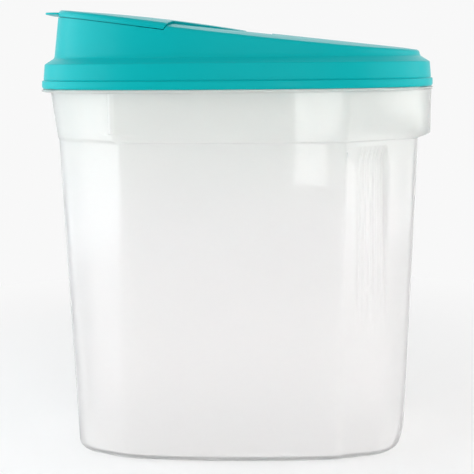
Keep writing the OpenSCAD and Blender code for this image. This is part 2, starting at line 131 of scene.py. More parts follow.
def round_corner(p: np.ndarray, c: np.ndarray, q: np.ndarray, radius: float, steps: int) -> Loop:
    """Round one corner of a loop.

    Args:
        p: The corner before.
        c: The corner that is rounded.
        q: The corner after.
        radius: Radius of the arc.
        steps: Number of chords along the arc.

    Returns:
        The points of the arc, from the side of p to the side of q.
    """
    d1, d2 = unit(p - c), unit(q - c)
    turn = math.pi - math.acos(float(np.clip(d1 @ d2, -1, 1)))
    start = c + d1 * radius * math.tan(turn / 2)
    centre = c + unit(d1 + d2) * radius / math.cos(turn / 2)
    sign = 1.0 if float(d1[0] * d2[1] - d1[1] * d2[0]) < 0 else -1.0
    angles = np.linspace(0.0, math.degrees(turn) * sign, steps + 1)
    return np.array([centre + turned(start - centre, a) for a in angles])


def edge_arc(radius: float, degrees: Sequence[float]) -> list[tuple[float, float]]:
    """Return points of a rounded edge, each by its distances from the two faces that it joins."""
    return [(radius * (1 - math.cos(a)), radius * (1 - math.sin(a))) for a in np.radians(degrees)]


def inset_corner(p: np.ndarray, c: np.ndarray, q: np.ndarray, s: float) -> np.ndarray:
    """Return the corner c, between p and q, moved in by s from both of its edges."""
    n1, n2 = turned(unit(c - p), 90), turned(unit(q - c), 90)
    return c + (n1 + n2) * s / (1 + n1 @ n2)


def between(p: np.ndarray, q: np.ndarray, shares: Sequence[float]) -> Loop:
    """Return points between p and q at the given shares of the way."""
    return np.array([blend(p, q, t) for t in shares])


def edge_spread(p: np.ndarray, q: np.ndarray, count: int) -> Loop:
    """Spread points over a straight stretch, closer together near its ends.

    Args:
        p: Start of the stretch.
        q: End of the stretch.
        count: Number of points, with neither end among them.

    Returns:
        The points.
    """
    span = distance(q, p)
    middle = count - 2 * len(NEAR_EDGE)
    inner = np.linspace(NEAR_EDGE[-1], span - NEAR_EDGE[-1], middle + 2)[1:-1]
    return between(p, q, np.concatenate([NEAR_EDGE, inner, span - NEAR_EDGE[::-1]]) / span)


def bowed_end(middle: float, end: np.ndarray, count: int) -> Loop:
    """Return count points of a bowed end, from x = middle on the axis to just before end."""
    return np.array([[blend(middle, end[0], t * t), end[1] * t] for t in np.arange(count) / count])


def both_halves(half: Loop) -> Loop:
    """Return the whole loop from its half on the +Y side, which runs from rear to front."""
    return np.vstack([half, half[-2:0:-1] * np.array([1.0, -1.0])])


def lift(loop: Loop, z: np.ndarray | float) -> np.ndarray:
    """Return a plane loop as points of space at height z."""
    return np.column_stack([loop, np.broadcast_to(z, len(loop))])


# ---- Solids, built in millimetres and turned to metres at the end ----


def make_solid(name: str, points: np.ndarray, faces: Sequence[Sequence[int]]) -> Solid:
    """Make a mesh object and link it to the scene.

    Args:
        name: Name of the object and its mesh.
        points: Its points.
        faces: Its faces, as indices of points.

    Returns:
        The object.
    """
    mesh = bpy.data.meshes.new(name)
    mesh.from_pydata([tuple(map(float, p)) for p in points], [], [list(f) for f in faces])
    mesh.update()
    solid = bpy.data.objects.new(name, mesh)
    bpy.context.scene.collection.objects.link(solid)
    return solid


def loft(name: str, rings: Sequence[np.ndarray]) -> Solid:
    """Skin a closed solid over rings of equal length, each a mirror image of itself about XZ.

    Args:
        name: Name of the object.
        rings: Rings from the bottom to the top, each running to the left seen from above.

    Returns:
        The solid, with both ends closed by strips from side to side.
    """
    n = len(rings[0])
    i = np.arange(n)
    j = (i + 1) % n
    faces: list[Sequence[int]] = []
    for k in range(len(rings) - 1):
        a, b = k * n + i, k * n + j
        faces.extend(np.column_stack([a, b, b + n, a + n]).tolist())
    top = (len(rings) - 1) * n
    for s in range(n // 2):
        strip = list(dict.fromkeys([s, s + 1, n - s - 1, (n - s) % n]))
        faces.append([v + top for v in strip])
        faces.append(list(reversed(strip)))
    return make_solid(name, np.vstack(rings), faces)


def prism(name: str, loop: Loop, low: float, high: float) -> Solid:
    """Make a straight prism.

    Args:
        name: Name of the object.
        loop: Its outline, running to the left seen from above.
        low: Height of its lower end.
        high: Height of its upper end.

    Returns:
        The prism.
    """
    n = len(loop)
    points = np.vstack([lift(loop, low), lift(loop, high)])
    faces = [[a, (a + 1) % n, (a + 1) % n + n, a + n] for a in range(n)]
    return make_solid(name, points, faces + [list(range(n))[::-1], list(range(n, 2 * n))])


def block(name: str, low: Sequence[float], high: Sequence[float]) -> Solid:
    """Return a box between two corners."""
    (x0, y0, z0), (x1, y1, z1) = low, high
    return prism(name, np.array([[x0, y0], [x1, y0], [x1, y1], [x0, y1]]), z0, z1)


def rod(name: str, radius: float, length: float) -> Solid:
    """Make a rod along Y, centred on the origin, with small chamfers at its ends.

    Args:
        name: Name of the object.
        radius: Its radius.
        length: Its length.

    Returns:
        The rod.
    """
    steps, half = 64, length / 2
    a = np.linspace(0, 2 * math.pi, steps, endpoint=False)
    cut = min(0.25, radius * 0.2)
    ends = [(radius - cut, -half), (radius, -half + cut), (radius, half - cut), (radius - cut, half)]
    points = np.vstack([np.column_stack([np.cos(a) * r, np.full(steps, y), -np.sin(a) * r])
                        for r, y in ends])
    faces = [[k * steps + i, k * steps + (i + 1) % steps, (k + 1) * steps + (i + 1) % steps,
              (k + 1) * steps + i] for k in range(3) for i in range(steps)]
    faces += [list(range(steps))[::-1], list(range(3 * steps, 4 * steps))]
    return make_solid(name, points, faces)


def placed(solid: Solid, turn_y: float, at: Sequence[float]) -> Solid:
    """Turn a solid about Y, then move it, both in its mesh.

    Args:
        solid: The solid.
        turn_y: Angle of the turn, in degrees.
        at: Distance of the move.

    Returns:
        The same object.
    """
    turn = Matrix.Rotation(math.radians(turn_y), 4, "Y")
    solid.data.transform(Matrix.Translation(Vector(at)) @ turn)
    return solid


def made_plain(solid: Solid, modifier: bpy.types.Modifier) -> Solid:
    """Give a solid the plain mesh that its one modifier makes.

    Args:
        solid: The solid.
        modifier: Its modifier, which is removed.

    Returns:
        The same object.
    """
    graph = bpy.context.evaluated_depsgraph_get()
    mesh = bpy.data.meshes.new_from_object(solid.evaluated_get(graph))
    solid.modifiers.remove(modifier)
    old, solid.data = solid.data, mesh
    bpy.data.meshes.remove(old)
    return solid


def combine(base: Solid, tool: Solid, how: Cut) -> Solid:
    """Change base by tool and drop the tool.

    Args:
        base: The solid that is changed.
        tool: The solid that changes it, which is removed afterwards.
        how: Join, remove, or keep what both share.

    Returns:
        The base with its new mesh.
    """
    modifier = base.modifiers.new("cut", "BOOLEAN")
    modifier.operation = how.value
    modifier.solver = "MANIFOLD"
    modifier.object = tool
    base, spare = made_plain(base, modifier), tool.data
    bpy.data.objects.remove(tool)
    bpy.data.meshes.remove(spare)
    if not base.data.polygons:
        raise ValueError(f"nothing is left of {base.name}")
    return base


def finish_mesh(solid: Solid, name: str, material: bpy.types.Material, sharp_over: float) -> Solid:
    """Bring a solid to metres, dress it and shade it smooth except at its real edges.

    Args:
        solid: The solid, in millimetres.
        name: Its final name.
        material: Its one finish.
        sharp_over: Angle in degrees past which an edge stays crisp.

    Returns:
        The same object.
    """
    solid.name = solid.data.name = name
    work = bmesh.new()
    work.from_mesh(solid.data)
    bmesh.ops.remove_doubles(work, verts=work.verts, dist=MERGE_WITHIN)
    bmesh.ops.dissolve_degenerate(work, edges=work.edges, dist=LEAST_EDGE)
    limit = math.radians(sharp_over)
    for edge in work.edges:
        edge.smooth = len(edge.link_faces) == 2 and edge.calc_face_angle(0.0) < limit
    for face in work.faces:
        face.smooth = True
    work.to_mesh(solid.data)
    work.free()
    solid.data.transform(Matrix.Scale(MM, 4))
    solid.data.materials.clear()
    solid.data.materials.append(material)
    solid.data.update()
    return solid


def keep_within(solid: Solid, node: str) -> None:
    """Keep every point of a finished piece inside the box of its CAD node.

    Args:
        solid: The piece, in metres.
        node: The node that it stands for.
    """
    low, high = (np.array(c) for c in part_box(node))
    points, slack = np.empty(len(solid.data.vertices) * 3), 4e-7
    solid.data.vertices.foreach_get("co", points)
    held = np.clip(points.reshape(-1, 3), low + slack, high - slack)
    solid.data.vertices.foreach_set("co", held.ravel())
    solid.data.update()


# ---- The forms that the pieces share ----


@dataclass(frozen=True)
class Outline:
    """The full oval of the lid, which every level of the lid and the rim moves in from."""

    length: float = 238.6
    width: float = 159.0
    fullness: float = 2.5
    points: int = 240

    @property
    def half_l(self) -> float:
        """Half of the length."""
        return self.length / 2

    @property
    def half_w(self) -> float:
        """Half of the width."""
        return self.width / 2

    def _at(self, t: np.ndarray, s: float) -> Loop:
        """Return points of the oval.

        Args:
            t: Their parameters, as angles.
            s: Distance by which the oval is moved in.

        Returns:
            The points.
        """
        x, y, power = np.cos(t), np.sin(t), 2 / self.fullness
        x, y = np.where(abs(x) < 1e-9, 0, x), np.where(abs(y) < 1e-9, 0, y)
        return np.column_stack([(self.half_l - s) * np.sign(x) * abs(x) ** power,
                                (self.half_w - s) * np.sign(y) * abs(y) ** power])

    def oval(self, s: float) -> Loop:
        """Return the oval as a loop.

        Args:
            s: Distance by which it is moved in.

        Returns:
            Its points, spread evenly along the full oval.
        """
        fine = np.linspace(0, math.pi / 2, 2001)
        edge = self._at(fine, 0.0)
        run = np.concatenate([[0], np.cumsum(np.linalg.norm(np.diff(edge, axis=0), axis=1))])
        quarter = np.interp(np.linspace(0, run[-1], self.points // 4 + 1), run, fine)[:-1]
        t = np.concatenate([quarter, [math.pi / 2], (math.pi - quarter[1:])[::-1]])
        return self._at(np.concatenate([t, t + math.pi]), s)

    def towards(self, points: Loop, s: float) -> Loop:
        """Return points of the oval in given directions.

        Args:
            points: Points that give the directions from the middle.
            s: Distance by which the oval is moved in.

        Returns:
            One point of the oval for each.
        """
        d = points / np.linalg.norm(points, axis=1)[:, None]
        k = (abs(d[:, 0]) / (self.half_l - s)) ** self.fullness
        k = k + (abs(d[:, 1]) / (self.half_w - s)) ** self.fullness
        return d / (k ** (1 / self.fullness))[:, None]


@dataclass(frozen=True)
class Heights:
    """Levels at which the mouldings meet, and the insets of their walls from the lid's oval."""

    body_h: float = 190.0
    step_h: float = 1.2
    collar_h: float = 28.6
    flange_t: float = 1.4
    lip_h: float = 13.0
    seat_gap: float = 0.35
    wall: float = 1.8
    lid_t: float = 1.6
    bead_h: float = 5.6
    bead_out: float = 1.1
    skirt_lean: float = 0.9
    ledge_run: float = 6.0
    ledge_rise: float = 4.4
    ledge_r: float = 2.0
    edge_r: float = 1.2
    foot_r: float = 2.5
    plug_h: float = 7.0

    @property
    def collar_z(self) -> float:
        """Top of the step that leads to the collar."""
        return self.body_h + self.step_h

    @property
    def flange_z(self) -> float:
        """Underside of the stop flange."""
        return self.body_h + self.collar_h

    @property
    def shelf_z(self) -> float:
        """Top of the stop flange."""
        return self.flange_z + self.flange_t

    @property
    def lip_z(self) -> float:
        """Top of the lip."""
        return self.shelf_z + self.lip_h

    @property
    def lid_z(self) -> float:
        """Bottom edge of the lid."""
        return self.shelf_z + self.seat_gap

    @property
    def roof_z(self) -> float:
        """Roof of the lid's channel over the lip."""
        return self.lip_z + self.seat_gap

    @property
    def ledge_z(self) -> float:
        """Top edge of the skirt."""
        return self.roof_z + self.lid_t

    @property
    def foot_z(self) -> float:
        """Foot of the hood's wall."""
        return self.ledge_z + self.ledge_rise

    @property
    def skirt_in(self) -> float:
        """Inset of the skirt's top edge."""
        return self.bead_out + self.skirt_lean

    @property
    def foot_in(self) -> float:
        """Inset of the hood's foot."""
        return self.skirt_in + self.ledge_run

    @property
    def lip_in(self) -> float:
        """Inset of the lip's outer face."""
        return self.skirt_in + self.lid_t + self.seat_gap

    @property
    def plug_in(self) -> float:
        """Inset of the plug wall's outer face."""
        return self.lip_in + self.wall + self.seat_gap


@dataclass(frozen=True)
class Hood:
    """The sloping form whose lower part is the lid's hood and whose upper part is the flip cap.

    Its top runs from the rounded edge in to a thin last ring. ridge_l and ridge_w are that ring's
    shares of the edge's length and width, and edge_share is how far in the top has its own height.
    """

    outline: Outline = Outline()
    levels: Heights = Heights()
    ridge_front: float = 48.0
    ridge_rear: float = 20.6
    draft: float = 8.0
    crown: float = 3.8
    top_r: float = 2.6
    edge_h: float = 5.7
    seat_slope: float = 7.9
    cap_l: float = 125.2
    front_l: float = 81.0
    step_lean: float = 32.0
    gap: float = 0.4
    ridge_l: float = 0.45
    ridge_w: float = 0.03
    edge_share: float = 0.14
    mouth_back: float = 9.0
    mouth_r: float = 6.0

    @property
    def front_x(self) -> float:
        """Front end of the hood at its ridge."""
        rise = self.ridge_front - self.levels.foot_z + self.levels.lid_z
        return -self.outline.half_l + self.levels.foot_in + rise * tangent(self.draft)

    @property
    def step_x(self) -> float:
        """Place of the cap's step."""
        return self.front_l - self.outline.half_l

    @property
    def rear_x(self) -> float:
        """Rear edge of the cap's tongue."""
        return self.cap_l - self.outline.half_l

    def ridge_z(self, x: np.ndarray | float) -> np.ndarray | float:
        """Return the height of the ridge."""
        share = (x + self.outline.half_l) / self.outline.length
        return self.levels.lid_z + blend(self.ridge_front, self.ridge_rear, share)

    def seat_z(self, x: np.ndarray | float) -> np.ndarray | float:
        """Return the height of the seat's plane under the cap."""
        start = self.levels.lid_z + self.ridge_front - self.edge_h
        return start - (x - self.front_x) * tangent(self.seat_slope)

    def top_z(self, p: Loop, dome: float) -> np.ndarray:
        """Return the height of the hood's top.

        Args:
            p: Places, seen from above.
            dome: Lengthwise doming of the top.

        Returns:
            The height at each place.
        """
        mid, reach = (self.front_x + self.rear_x) / 2, (self.rear_x - self.front_x) / 2
        u = (p[:, 0] - mid) / reach
        fall = self.crown * (p[:, 1] / (self.outline.half_w - self.levels.foot_in)) ** 2
        return self.ridge_z(p[:, 0]) - fall + dome * (1 - u * u)

    def leaned(self, p: Loop, z: np.ndarray | float) -> Loop:
        """Return points of the hood's foot moved in by the wall's lean up to height z."""
        s = (z - self.levels.foot_z) * tangent(self.draft)
        return np.column_stack([p[:, 0] * (1 - s / self.outline.half_l),
                                p[:, 1] * (1 - s / self.outline.half_w)])

    def rings(self, s: float, dome: float) -> list[np.ndarray]:
        """Return the rings of the hood, from its foot over its rounded edge to its ridge.

        Args:
            s: Inset from the outer surface.
            dome: Lengthwise doming of the top.

        Returns:
            The rings, from the bottom to the top.
        """
        foot = self.outline.oval(self.levels.foot_in + s)
        high = self.top_z(foot, dome) - s - self.top_r
        out = []
        for t in np.linspace(0, 1, 9):
            z = blend(self.levels.foot_z, high, t)
            out.append(lift(self.leaned(foot, z), z))
        wall, half = out[-1], np.array([self.outline.half_l, self.outline.half_w])
        for a in np.radians(np.arange(10, 91, 10)):
            seen = wall[:, :2] * (1 - self.top_r * (1 - math.cos(a)) / half)
            out.append(lift(seen, wall[:, 2] + self.top_r * math.sin(a)))
        edge = out[-1]
        lower = self.top_z(edge[:, :2], dome) - s - edge[:, 2]
        for t in CROWN_SHARES:
            xy = edge[:, :2] * np.array([blend(1, self.ridge_l, t), 1 - t * (1 - self.ridge_w)])
            left = lower * (1 - smooth(t / self.edge_share))
            out.append(lift(xy, self.top_z(xy, dome) - s - left))
        return out

    def above_seat(self, drop: float) -> Solid:
        """Return everything above the seat's plane, moved down by drop."""
        big, at = self.outline.length, (0, 0, float(self.seat_z(0)) - drop)
        return placed(block("above_seat", (-big, -big, 0), (big, big, big)), self.seat_slope, at)

    def before_step(self, s: float) -> Solid:
        """Return everything in front of the cap's leaning step, moved back by s."""
        big, at = self.outline.length, (self.step_x + s, 0, float(self.seat_z(self.step_x)))
        return placed(block("before_step", (-2 * big, -big, -big), (0, big, big)), self.step_lean, at)

    def strip(self, x0: float, x1: float, y: float) -> Solid:
        """Return everything between x0 and x1, over a width y on each side."""
        return block("strip", (x0, -y, 0), (x1, y, 2 * self.outline.length))

    def mouth(self, s: float, low: float, high: float) -> Solid:
        """Return a prism over the mouth's outline, square to the seat.

        Args:
            s: Inset from the hood's wall.
            low: Lower end, from the seat's plane.
            high: Upper end, from the seat's plane.

        Returns:
            The prism.
        """
        rear, r = self.step_x - self.mouth_back - s, self.mouth_r
        foot = self.outline.oval(self.levels.foot_in + s)
        foot = foot[:len(foot) // 2 + 1]
        wall = self.leaned(foot, self.seat_z(foot[:, 0]))
        kept = wall[wall[:, 0] < rear - r]
        top = kept[0][1] + 1
        arc = [[rear - r + r * math.cos(a), top - r + r * math.sin(a)]
               for a in np.linspace(0, math.pi / 2, 9)]
        half = np.vstack([[[rear, 0], [rear, top / 2]], arc, kept])
        loop = both_halves(half) / np.array([math.cos(math.radians(self.seat_slope)), 1.0])
        return placed(prism("mouth", loop, low, high), self.seat_slope, (0, 0, float(self.seat_z(0))))


@dataclass(frozen=True)
class Hinge:
    """The trunnion hinge of the cap, with the well that it turns in."""

    hood: Hood = Hood()
    pin_r: float = 1.8
    pin_l: float = 4.0
    pin_clear: float = 0.05
    pin_back: float = 4.6
    pin_up: float = 1.6
    boss_wall: float = 1.2
    ear_t: float = 4.0
    ear_r: float = 3.8
    well_back: float = 16.0
    well_open: float = 200.0
    tongue_w: float = 84.0

    @property
    def x(self) -> float:
        """Place of the pin axis along the part."""
        return self.hood.rear_x - self.pin_back

    @property
    def z(self) -> float:
        """Height of the pin axis."""
        return float(self.hood.seat_z(self.x)) + self.pin_up

    @property
    def well_y(self) -> float:
        """Half width of the well."""
        return self.tongue_w / 2 + self.hood.gap

    def well(self, s: float) -> Solid:
        """Return the well's room.

        Args:
            s: Distance by which it grows.

        Returns:
            A box that the tongue and the ears turn in.
        """
        gap = self.hood.gap
        sweep = math.hypot(self.pin_back, float(self.hood.ridge_z(self.hood.rear_x)) - self.z)
        x0 = self.x - max(self.ear_r, math.hypot(self.pin_back, self.pin_up)) - 2 * gap
        x1 = self.hood.rear_x + self.well_back
        z0 = self.z - max(sweep, self.ear_r) - gap
        y = self.well_y + s
        return block("well", (x0 - s, -y, z0 - s), (x1 + s, y, z0 + self.well_open))

    def pair(self, radius: float, inner: float, outer: float) -> list[Solid]:
        """Return a rod on the pin axis for each side, between two distances from the middle."""
        return [placed(rod("pin", radius, outer - inner), 0.0,
                       (self.x, side.value * (inner + outer) / 2, self.z)) for side in Side]


# ---- Finishes ----


class Nodes:
    """A thin helper that adds nodes to one tree."""

    def __init__(self, tree: bpy.types.NodeTree) -> None:
        """Keep the tree that the nodes go into."""
        self.tree = tree

    def add(self, kind: str, inputs: dict[str | int, object] | None = None,
            **values: object) -> bpy.types.Node:
        """Add a node.

        Args:
            kind: The kind of node.
            inputs: What each input gets: an output that is linked to it, or a constant.
            **values: The node's own properties, which are set first.

        Returns:
            The node.
        """
        node = self.tree.nodes.new(kind)
        for key, value in values.items():
            setattr(node, key, value)
        for key, value in (inputs or {}).items():
            if isinstance(value, bpy.types.NodeSocket):
                self.tree.links.new(value, node.inputs[key])
            else:
                node.inputs[key].default_value = value
        return node

    def math(self, how: str, *terms: object) -> bpy.types.NodeSocket:
        """Add a math node over outputs or numbers and return its result."""
        return self.add("ShaderNodeMath", dict(enumerate(terms)), operation=how).outputs[0]

    def fade(self, value: bpy.types.NodeSocket, start: float, end: float,
             low: float = 0.0, high: float = 1.0) -> bpy.types.NodeSocket:
        """Add a smooth fade of a value.

        Args:
            value: The output that the fade follows.
            start: Its value where the fade begins.
            end: Its value where the fade ends.
            low: Result at the start.
            high: Result at the end.

        Returns:
            The result.
        """
        inputs = {"Value": value, "From Min": start, "From Max": end, "To Min": low, "To Max": high}
        node = self.add("ShaderNodeMapRange", inputs, interpolation_type="SMOOTHSTEP")
        return node.outputs["Result"]


def empty_tree(owner: bpy.types.Material | bpy.types.World) -> Nodes:
    """Give a material or a world an empty tree of nodes.

    Args:
        owner: The material or the world.

    Returns:
        The helper for its tree.
    """
    owner.use_nodes = True
    owner.node_tree.nodes.clear()
    return Nodes(owner.node_tree)


def moulded_surface_group() -> bpy.types.NodeTree:
    """Build the group that gives every moulding its fine surface.

    Returns:
        A group with the inputs Vector, Grain Scale and Flow Scale, and the outputs Height, the
        fine relief; Tone, a slow change over the surface; and Rub, thin handling marks.
    """
    tree = bpy.data.node_groups.new("moulded_surface", "ShaderNodeTree")
    face = tree.interface
    face.new_socket("Vector", in_out="INPUT", socket_type="NodeSocketVector")
    for name, usual in (("Grain Scale", 1600.0), ("Flow Scale", 14.0)):
        scale = face.new_socket(name, in_out="INPUT", socket_type="NodeSocketFloat")
        scale.default_value = usual
    for name in ("Height", "Tone", "Rub"):
        face.new_socket(name, in_out="OUTPUT", socket_type="NodeSocketFloat")
    n = Nodes(tree)
    enter = n.add("NodeGroupInput").outputs
    place = enter["Vector"]
    fine = n.add("ShaderNodeTexNoise",
                 {"Vector": place, "Scale": enter["Grain Scale"], "Detail": 3.0})
    slow = n.add("ShaderNodeTexNoise", {"Vector": place, "Scale": enter["Flow Scale"],
                                        "Detail": 4.0, "Distortion": 0.6})
    drawn_out = n.add("ShaderNodeMapping", {"Vector": place, "Scale": (1.0, 1.0, 0.12)})
    marks = n.add("ShaderNodeTexNoise",
                  {"Vector": drawn_out.outputs["Vector"], "Scale": 90.0, "Detail": 6.0})
    n.add("NodeGroupOutput", {"Height": fine.outputs["Fac"], "Tone": slow.outputs["Fac"],
                              "Rub": n.fade(marks.outputs["Fac"], 0.6, 0.72)})
    return tree


@dataclass(frozen=True)
class Moulding:
    """A moulded plastic: one colour with slow tone, fine grain and faint handling marks, and a painted
    shade that darkens and greens its colour between two heights, where the teal lid shades and tints
    the container's top.
    """

    name: str
    colour: Colour
    second: Colour
    roughness: float
    grain: float
    grain_scale: float
    rough_spread: float = 0.06
    rub_rough: float = 0.06
    grain_depth: float = 0.0001
    specular: float = 0.5
    transmission: float = 0.0
    scatter: float = 0.0
    scatter_depth: float = 0.006
    ior: float = 1.49
    coat: float = 0.0
    coat_rough: float = 0.035
    # Painted shade: a colour multiplied in towards the top, darker and greener where the teal lid
    # shades the container and tints its light; the two heights below, in metres, bound its fade.
    painted_under_lid_shade: Colour = (1.0, 1.0, 1.0)
    painted_shade_from: float = 0.13
    painted_shade_to: float = 0.215

    def material(self, surface: bpy.types.NodeTree) -> bpy.types.Material:
        """Build the material.

        Args:
            surface: The shared group of the moulded surface.

        Returns:
            A material whose Principled shader stays in the material itself.
        """
        material = bpy.data.materials.new(self.name)
        n = empty_tree(material)
        place = n.add("ShaderNodeTexCoord").outputs["Object"]
        skin = n.add("ShaderNodeGroup", {"Vector": place, "Grain Scale": self.grain_scale},
                     node_tree=surface).outputs
        tint = n.add("ShaderNodeMix", {"Factor": skin["Tone"], "A": (*self.colour, 1.0),
                                       "B": (*self.second, 1.0)}, data_type="RGBA")
        height = n.add("ShaderNodeSeparateXYZ", {"Vector": place}).outputs["Z"]
        # Painted shade: fades in with height, so that the container's top under the lid comes out
        # darker and greener.
        painted_shade_share = n.fade(height, self.painted_shade_from, self.painted_shade_to)
        painted_shade_mix = n.add("ShaderNodeMix", {"Factor": painted_shade_share, "A": tint.outputs["Result"],
                                        "B": (*self.painted_under_lid_shade, 1.0)},
                      data_type="RGBA", blend_type="MULTIPLY")
        slow = n.math("MULTIPLY_ADD", skin["Tone"], self.rough_spread,
                      self.roughness - self.rough_spread / 2)
        bump = n.add("ShaderNodeBump", {"Strength": self.grain, "Distance": self.grain_depth,
                                        "Height": skin["Height"]})
        inputs = {"Base Color": painted_shade_mix.outputs["Result"],
                  "Roughness": n.math("MULTIPLY_ADD", skin["Rub"], self.rub_rough, slow),
                  "Normal": bump.outputs["Normal"],
                  "IOR": self.ior,
                  "Specular IOR Level": self.specular,
                  "Transmission Weight": self.transmission,
                  "Coat Weight": self.coat,
                  "Coat Roughness": self.coat_rough}
        if self.scatter:
            inputs |= {"Subsurface Weight": self.scatter, "Subsurface Radius": (1.0, 1.0, 1.0),
                       "Subsurface Scale": self.scatter_depth}
        shader = n.add("ShaderNodeBsdfPrincipled", inputs)
        n.add("ShaderNodeOutputMaterial", {"Surface": shader.outputs["BSDF"]})
        return material


# The frosted plastic carries a painted shade, darker and greener towards its top under the lid.
FROSTED = Moulding("frosted_polypropylene", colour=(0.990, 0.976, 0.970),
                   second=(0.992, 0.975, 0.974), roughness=0.58, grain=0.12, grain_scale=1500.0,
                   transmission=0.75, scatter=1.0, ior=1.08, coat=0.42,
                   painted_under_lid_shade=(0.965, 0.980, 0.955))
TEAL = Moulding("teal_polypropylene", colour=(0.0, 0.405, 0.425), second=(0.0, 0.425, 0.445),
                roughness=0.36, grain=0.35, grain_scale=2300.0, specular=0.08, coat=0.03,
                coat_rough=0.14)


# ---- The container ----


@dataclass
class Container:
    """The frosted container: foot, tapered body with corner flats, grips, collar, flange and lip.

    The collar's leans go from 0 at its step to 1 at the flange. A Ramp gives the start and the run
    of a smooth step: along the part for the ovals and rises, as shares of flat_l for flange_oval,
    and behind the rib's crest for the rib, whose groove has a middle and a reach. A round gives
    the reach of a rounded edge and that of the point in its middle.
    """

    outline: Outline = Outline()
    levels: Heights = Heights()
    floor_t: float = 2.2
    front_inset: float = 12.4
    rear_inset: float = 10.3
    side_inset: float = 11.5
    front_draft: float = 1.8
    rear_draft: float = 1.7
    side_draft: float = 1.9
    flat_l: float = 126.0
    flat_ahead: float = 2.0
    flat_taper: float = 4.0
    rear_flat_more: float = 8.0
    heel: float = 3.5
    heel_h: float = 16.0
    end_flat_top: float = 76.0
    end_flat_low: float = 92.0
    side_bow: float = 3.5
    end_bow: float = 0.8
    edge_r_top: float = 2.5
    edge_r_low: float = 45.0
    rear_r_low: float = 12.0
    end_r_top: float = 17.0
    end_r_low: float = 26.0
    least_r: float = 0.5
    edge_fade: float = 0.8
    foot_r: float = 3.0
    grip_w: float = 20.0
    grip_edge: float = 1.6
    grip_clear: float = 0.2
    flank_w: float = 9.0
    flank_start: float = 0.12
    flank_least: float = 0.14
    flank_rise: float = 12.0
    grip_depth: float = 3.8
    grip_l: float = 114.0
    grip_drop: float = 2.5
    grip_top_h: float = 11.0
    rib_count: int = 5
    rib_h: float = 0.7
    rib_depth_share: float = 0.5
    rib_crest: float = 1.3
    collar_out: float = 1.6
    collar_ahead: float = 3.4
    collar_front: float = 1.0
    collar_lean: float = 4.0
    collar_narrow: float = 4.0
    collar_inset: float = 0.7
    step_oval: Ramp = (101.0, 9.0)
    flange_oval: Ramp = (0.34, 0.4)
    oval_lean: float = 0.6
    collar_rise: float = 1.5
    rise_rear: Ramp = (104.0, 10.0)
    rise_front: Ramp = (55.0, 12.0)
    rise_lean: float = 0.3
    collar_rib: float = 2.1
    rib_lean: Ramp = (0.11, 0.05)
    rib_front: Ramp = (-2.2, 1.7)
    rib_back: Ramp = (0.4, 2.2)
    rib_tail: Ramp = (2.0, 13.0)
    rib_groove: Ramp = (-3.3, 1.2)
    rib_way: tuple[float, float] = (-0.3, 0.95)
    flange_out: float = 0.2
    flange_round: Ramp = (0.35, 0.1)
    lip_round: Ramp = (0.5, 0.12)
    end_points: int = 9
    end_steps: int = 12
    edge_steps: int = 8
    before_grip: int = 4
    bed_points: int = 56
    side_points: int = 30
    cut_points: int = 14
    sharp_over: float = 50.0

    def __post_init__(self) -> None:
        """Lay out the stations across a grip, from its far edge to the corner edge.

        Each has a place and a share of the grip's depth. A place over 1 is a distance from the
        corner edge, and one below 1 is a share of the flank's width.
        """
        far = self.flank_w + self.grip_w
        edge = [(far + self.grip_edge * (1 - t), float(smooth(t))) for t in (0, 0.2, 0.4, 0.6, 0.8)]
        bed = [(far - self.grip_w * t, 1.0) for t in np.linspace(0, 1, self.bed_points)]
        flank = [(t, self.flank_start + (1 - self.flank_start) * t)
                 for t in (0.97, 0.9, 0.8, 0.65, 0.5, 0.35, 0.2, 0.1, 0.0)]
        self.stations = np.array(edge + bed + flank)
        self.grip_at = self.end_points + self.end_steps + 1 + self.before_grip
        self.bed_at = self.grip_at + len(edge)
        self.edge_at = (self.grip_at + len(self.stations) + self.edge_steps + 1
                        + self.side_points + self.edge_steps // 2)

    @property
    def grip_top(self) -> float:
        """Height of a grip's upper end."""
        return self.levels.body_h - self.grip_drop

    def depth_at(self, z: float) -> float:
        """Return the depth of a grip, whose bed has no draft, so that it runs out downwards.

        Args:
            z: Height.

        Returns:
            The depth at that height.
        """
        below = self.grip_top - z
        if below <= 0:
            return 0.0
        start = float(smooth(below / self.grip_top_h)) ** 0.5
        return self.grip_depth * max(0.0, 1 - below / self.grip_l) * start

    def flank_share(self, z: float) -> float:
        """Return the share of its full width that a grip's flank has at height z."""
        return max(self.flank_least, min(1.0, (self.grip_top - z) / self.flank_rise))

    def grip_points(self, z: float, corner: np.ndarray, along: np.ndarray, room: float,
                    start: float) -> Loop:
        """Return the points across a grip.

        Args:
            z: Height.
            corner: The rear corner edge, before it is rounded.
            along: Direction of the rear cut, away from that edge.
            room: Length of the cut that isn't rounded at its far end.
            start: Distance from the corner edge at which the grip may begin.

        Returns:
            The points, from the grip's far edge to the corner edge.
        """
        squeeze = min(1.0, (room - 1) / float(self.stations[0][0]))
        flank = self.flank_w * self.flank_share(z) * squeeze
        depth, inward = self.depth_at(z), turned(along, -90)
        return np.array([corner + along * (place * squeeze if place > 1 else blend(start, flank, place))
                         + inward * depth * share for place, share in self.stations])

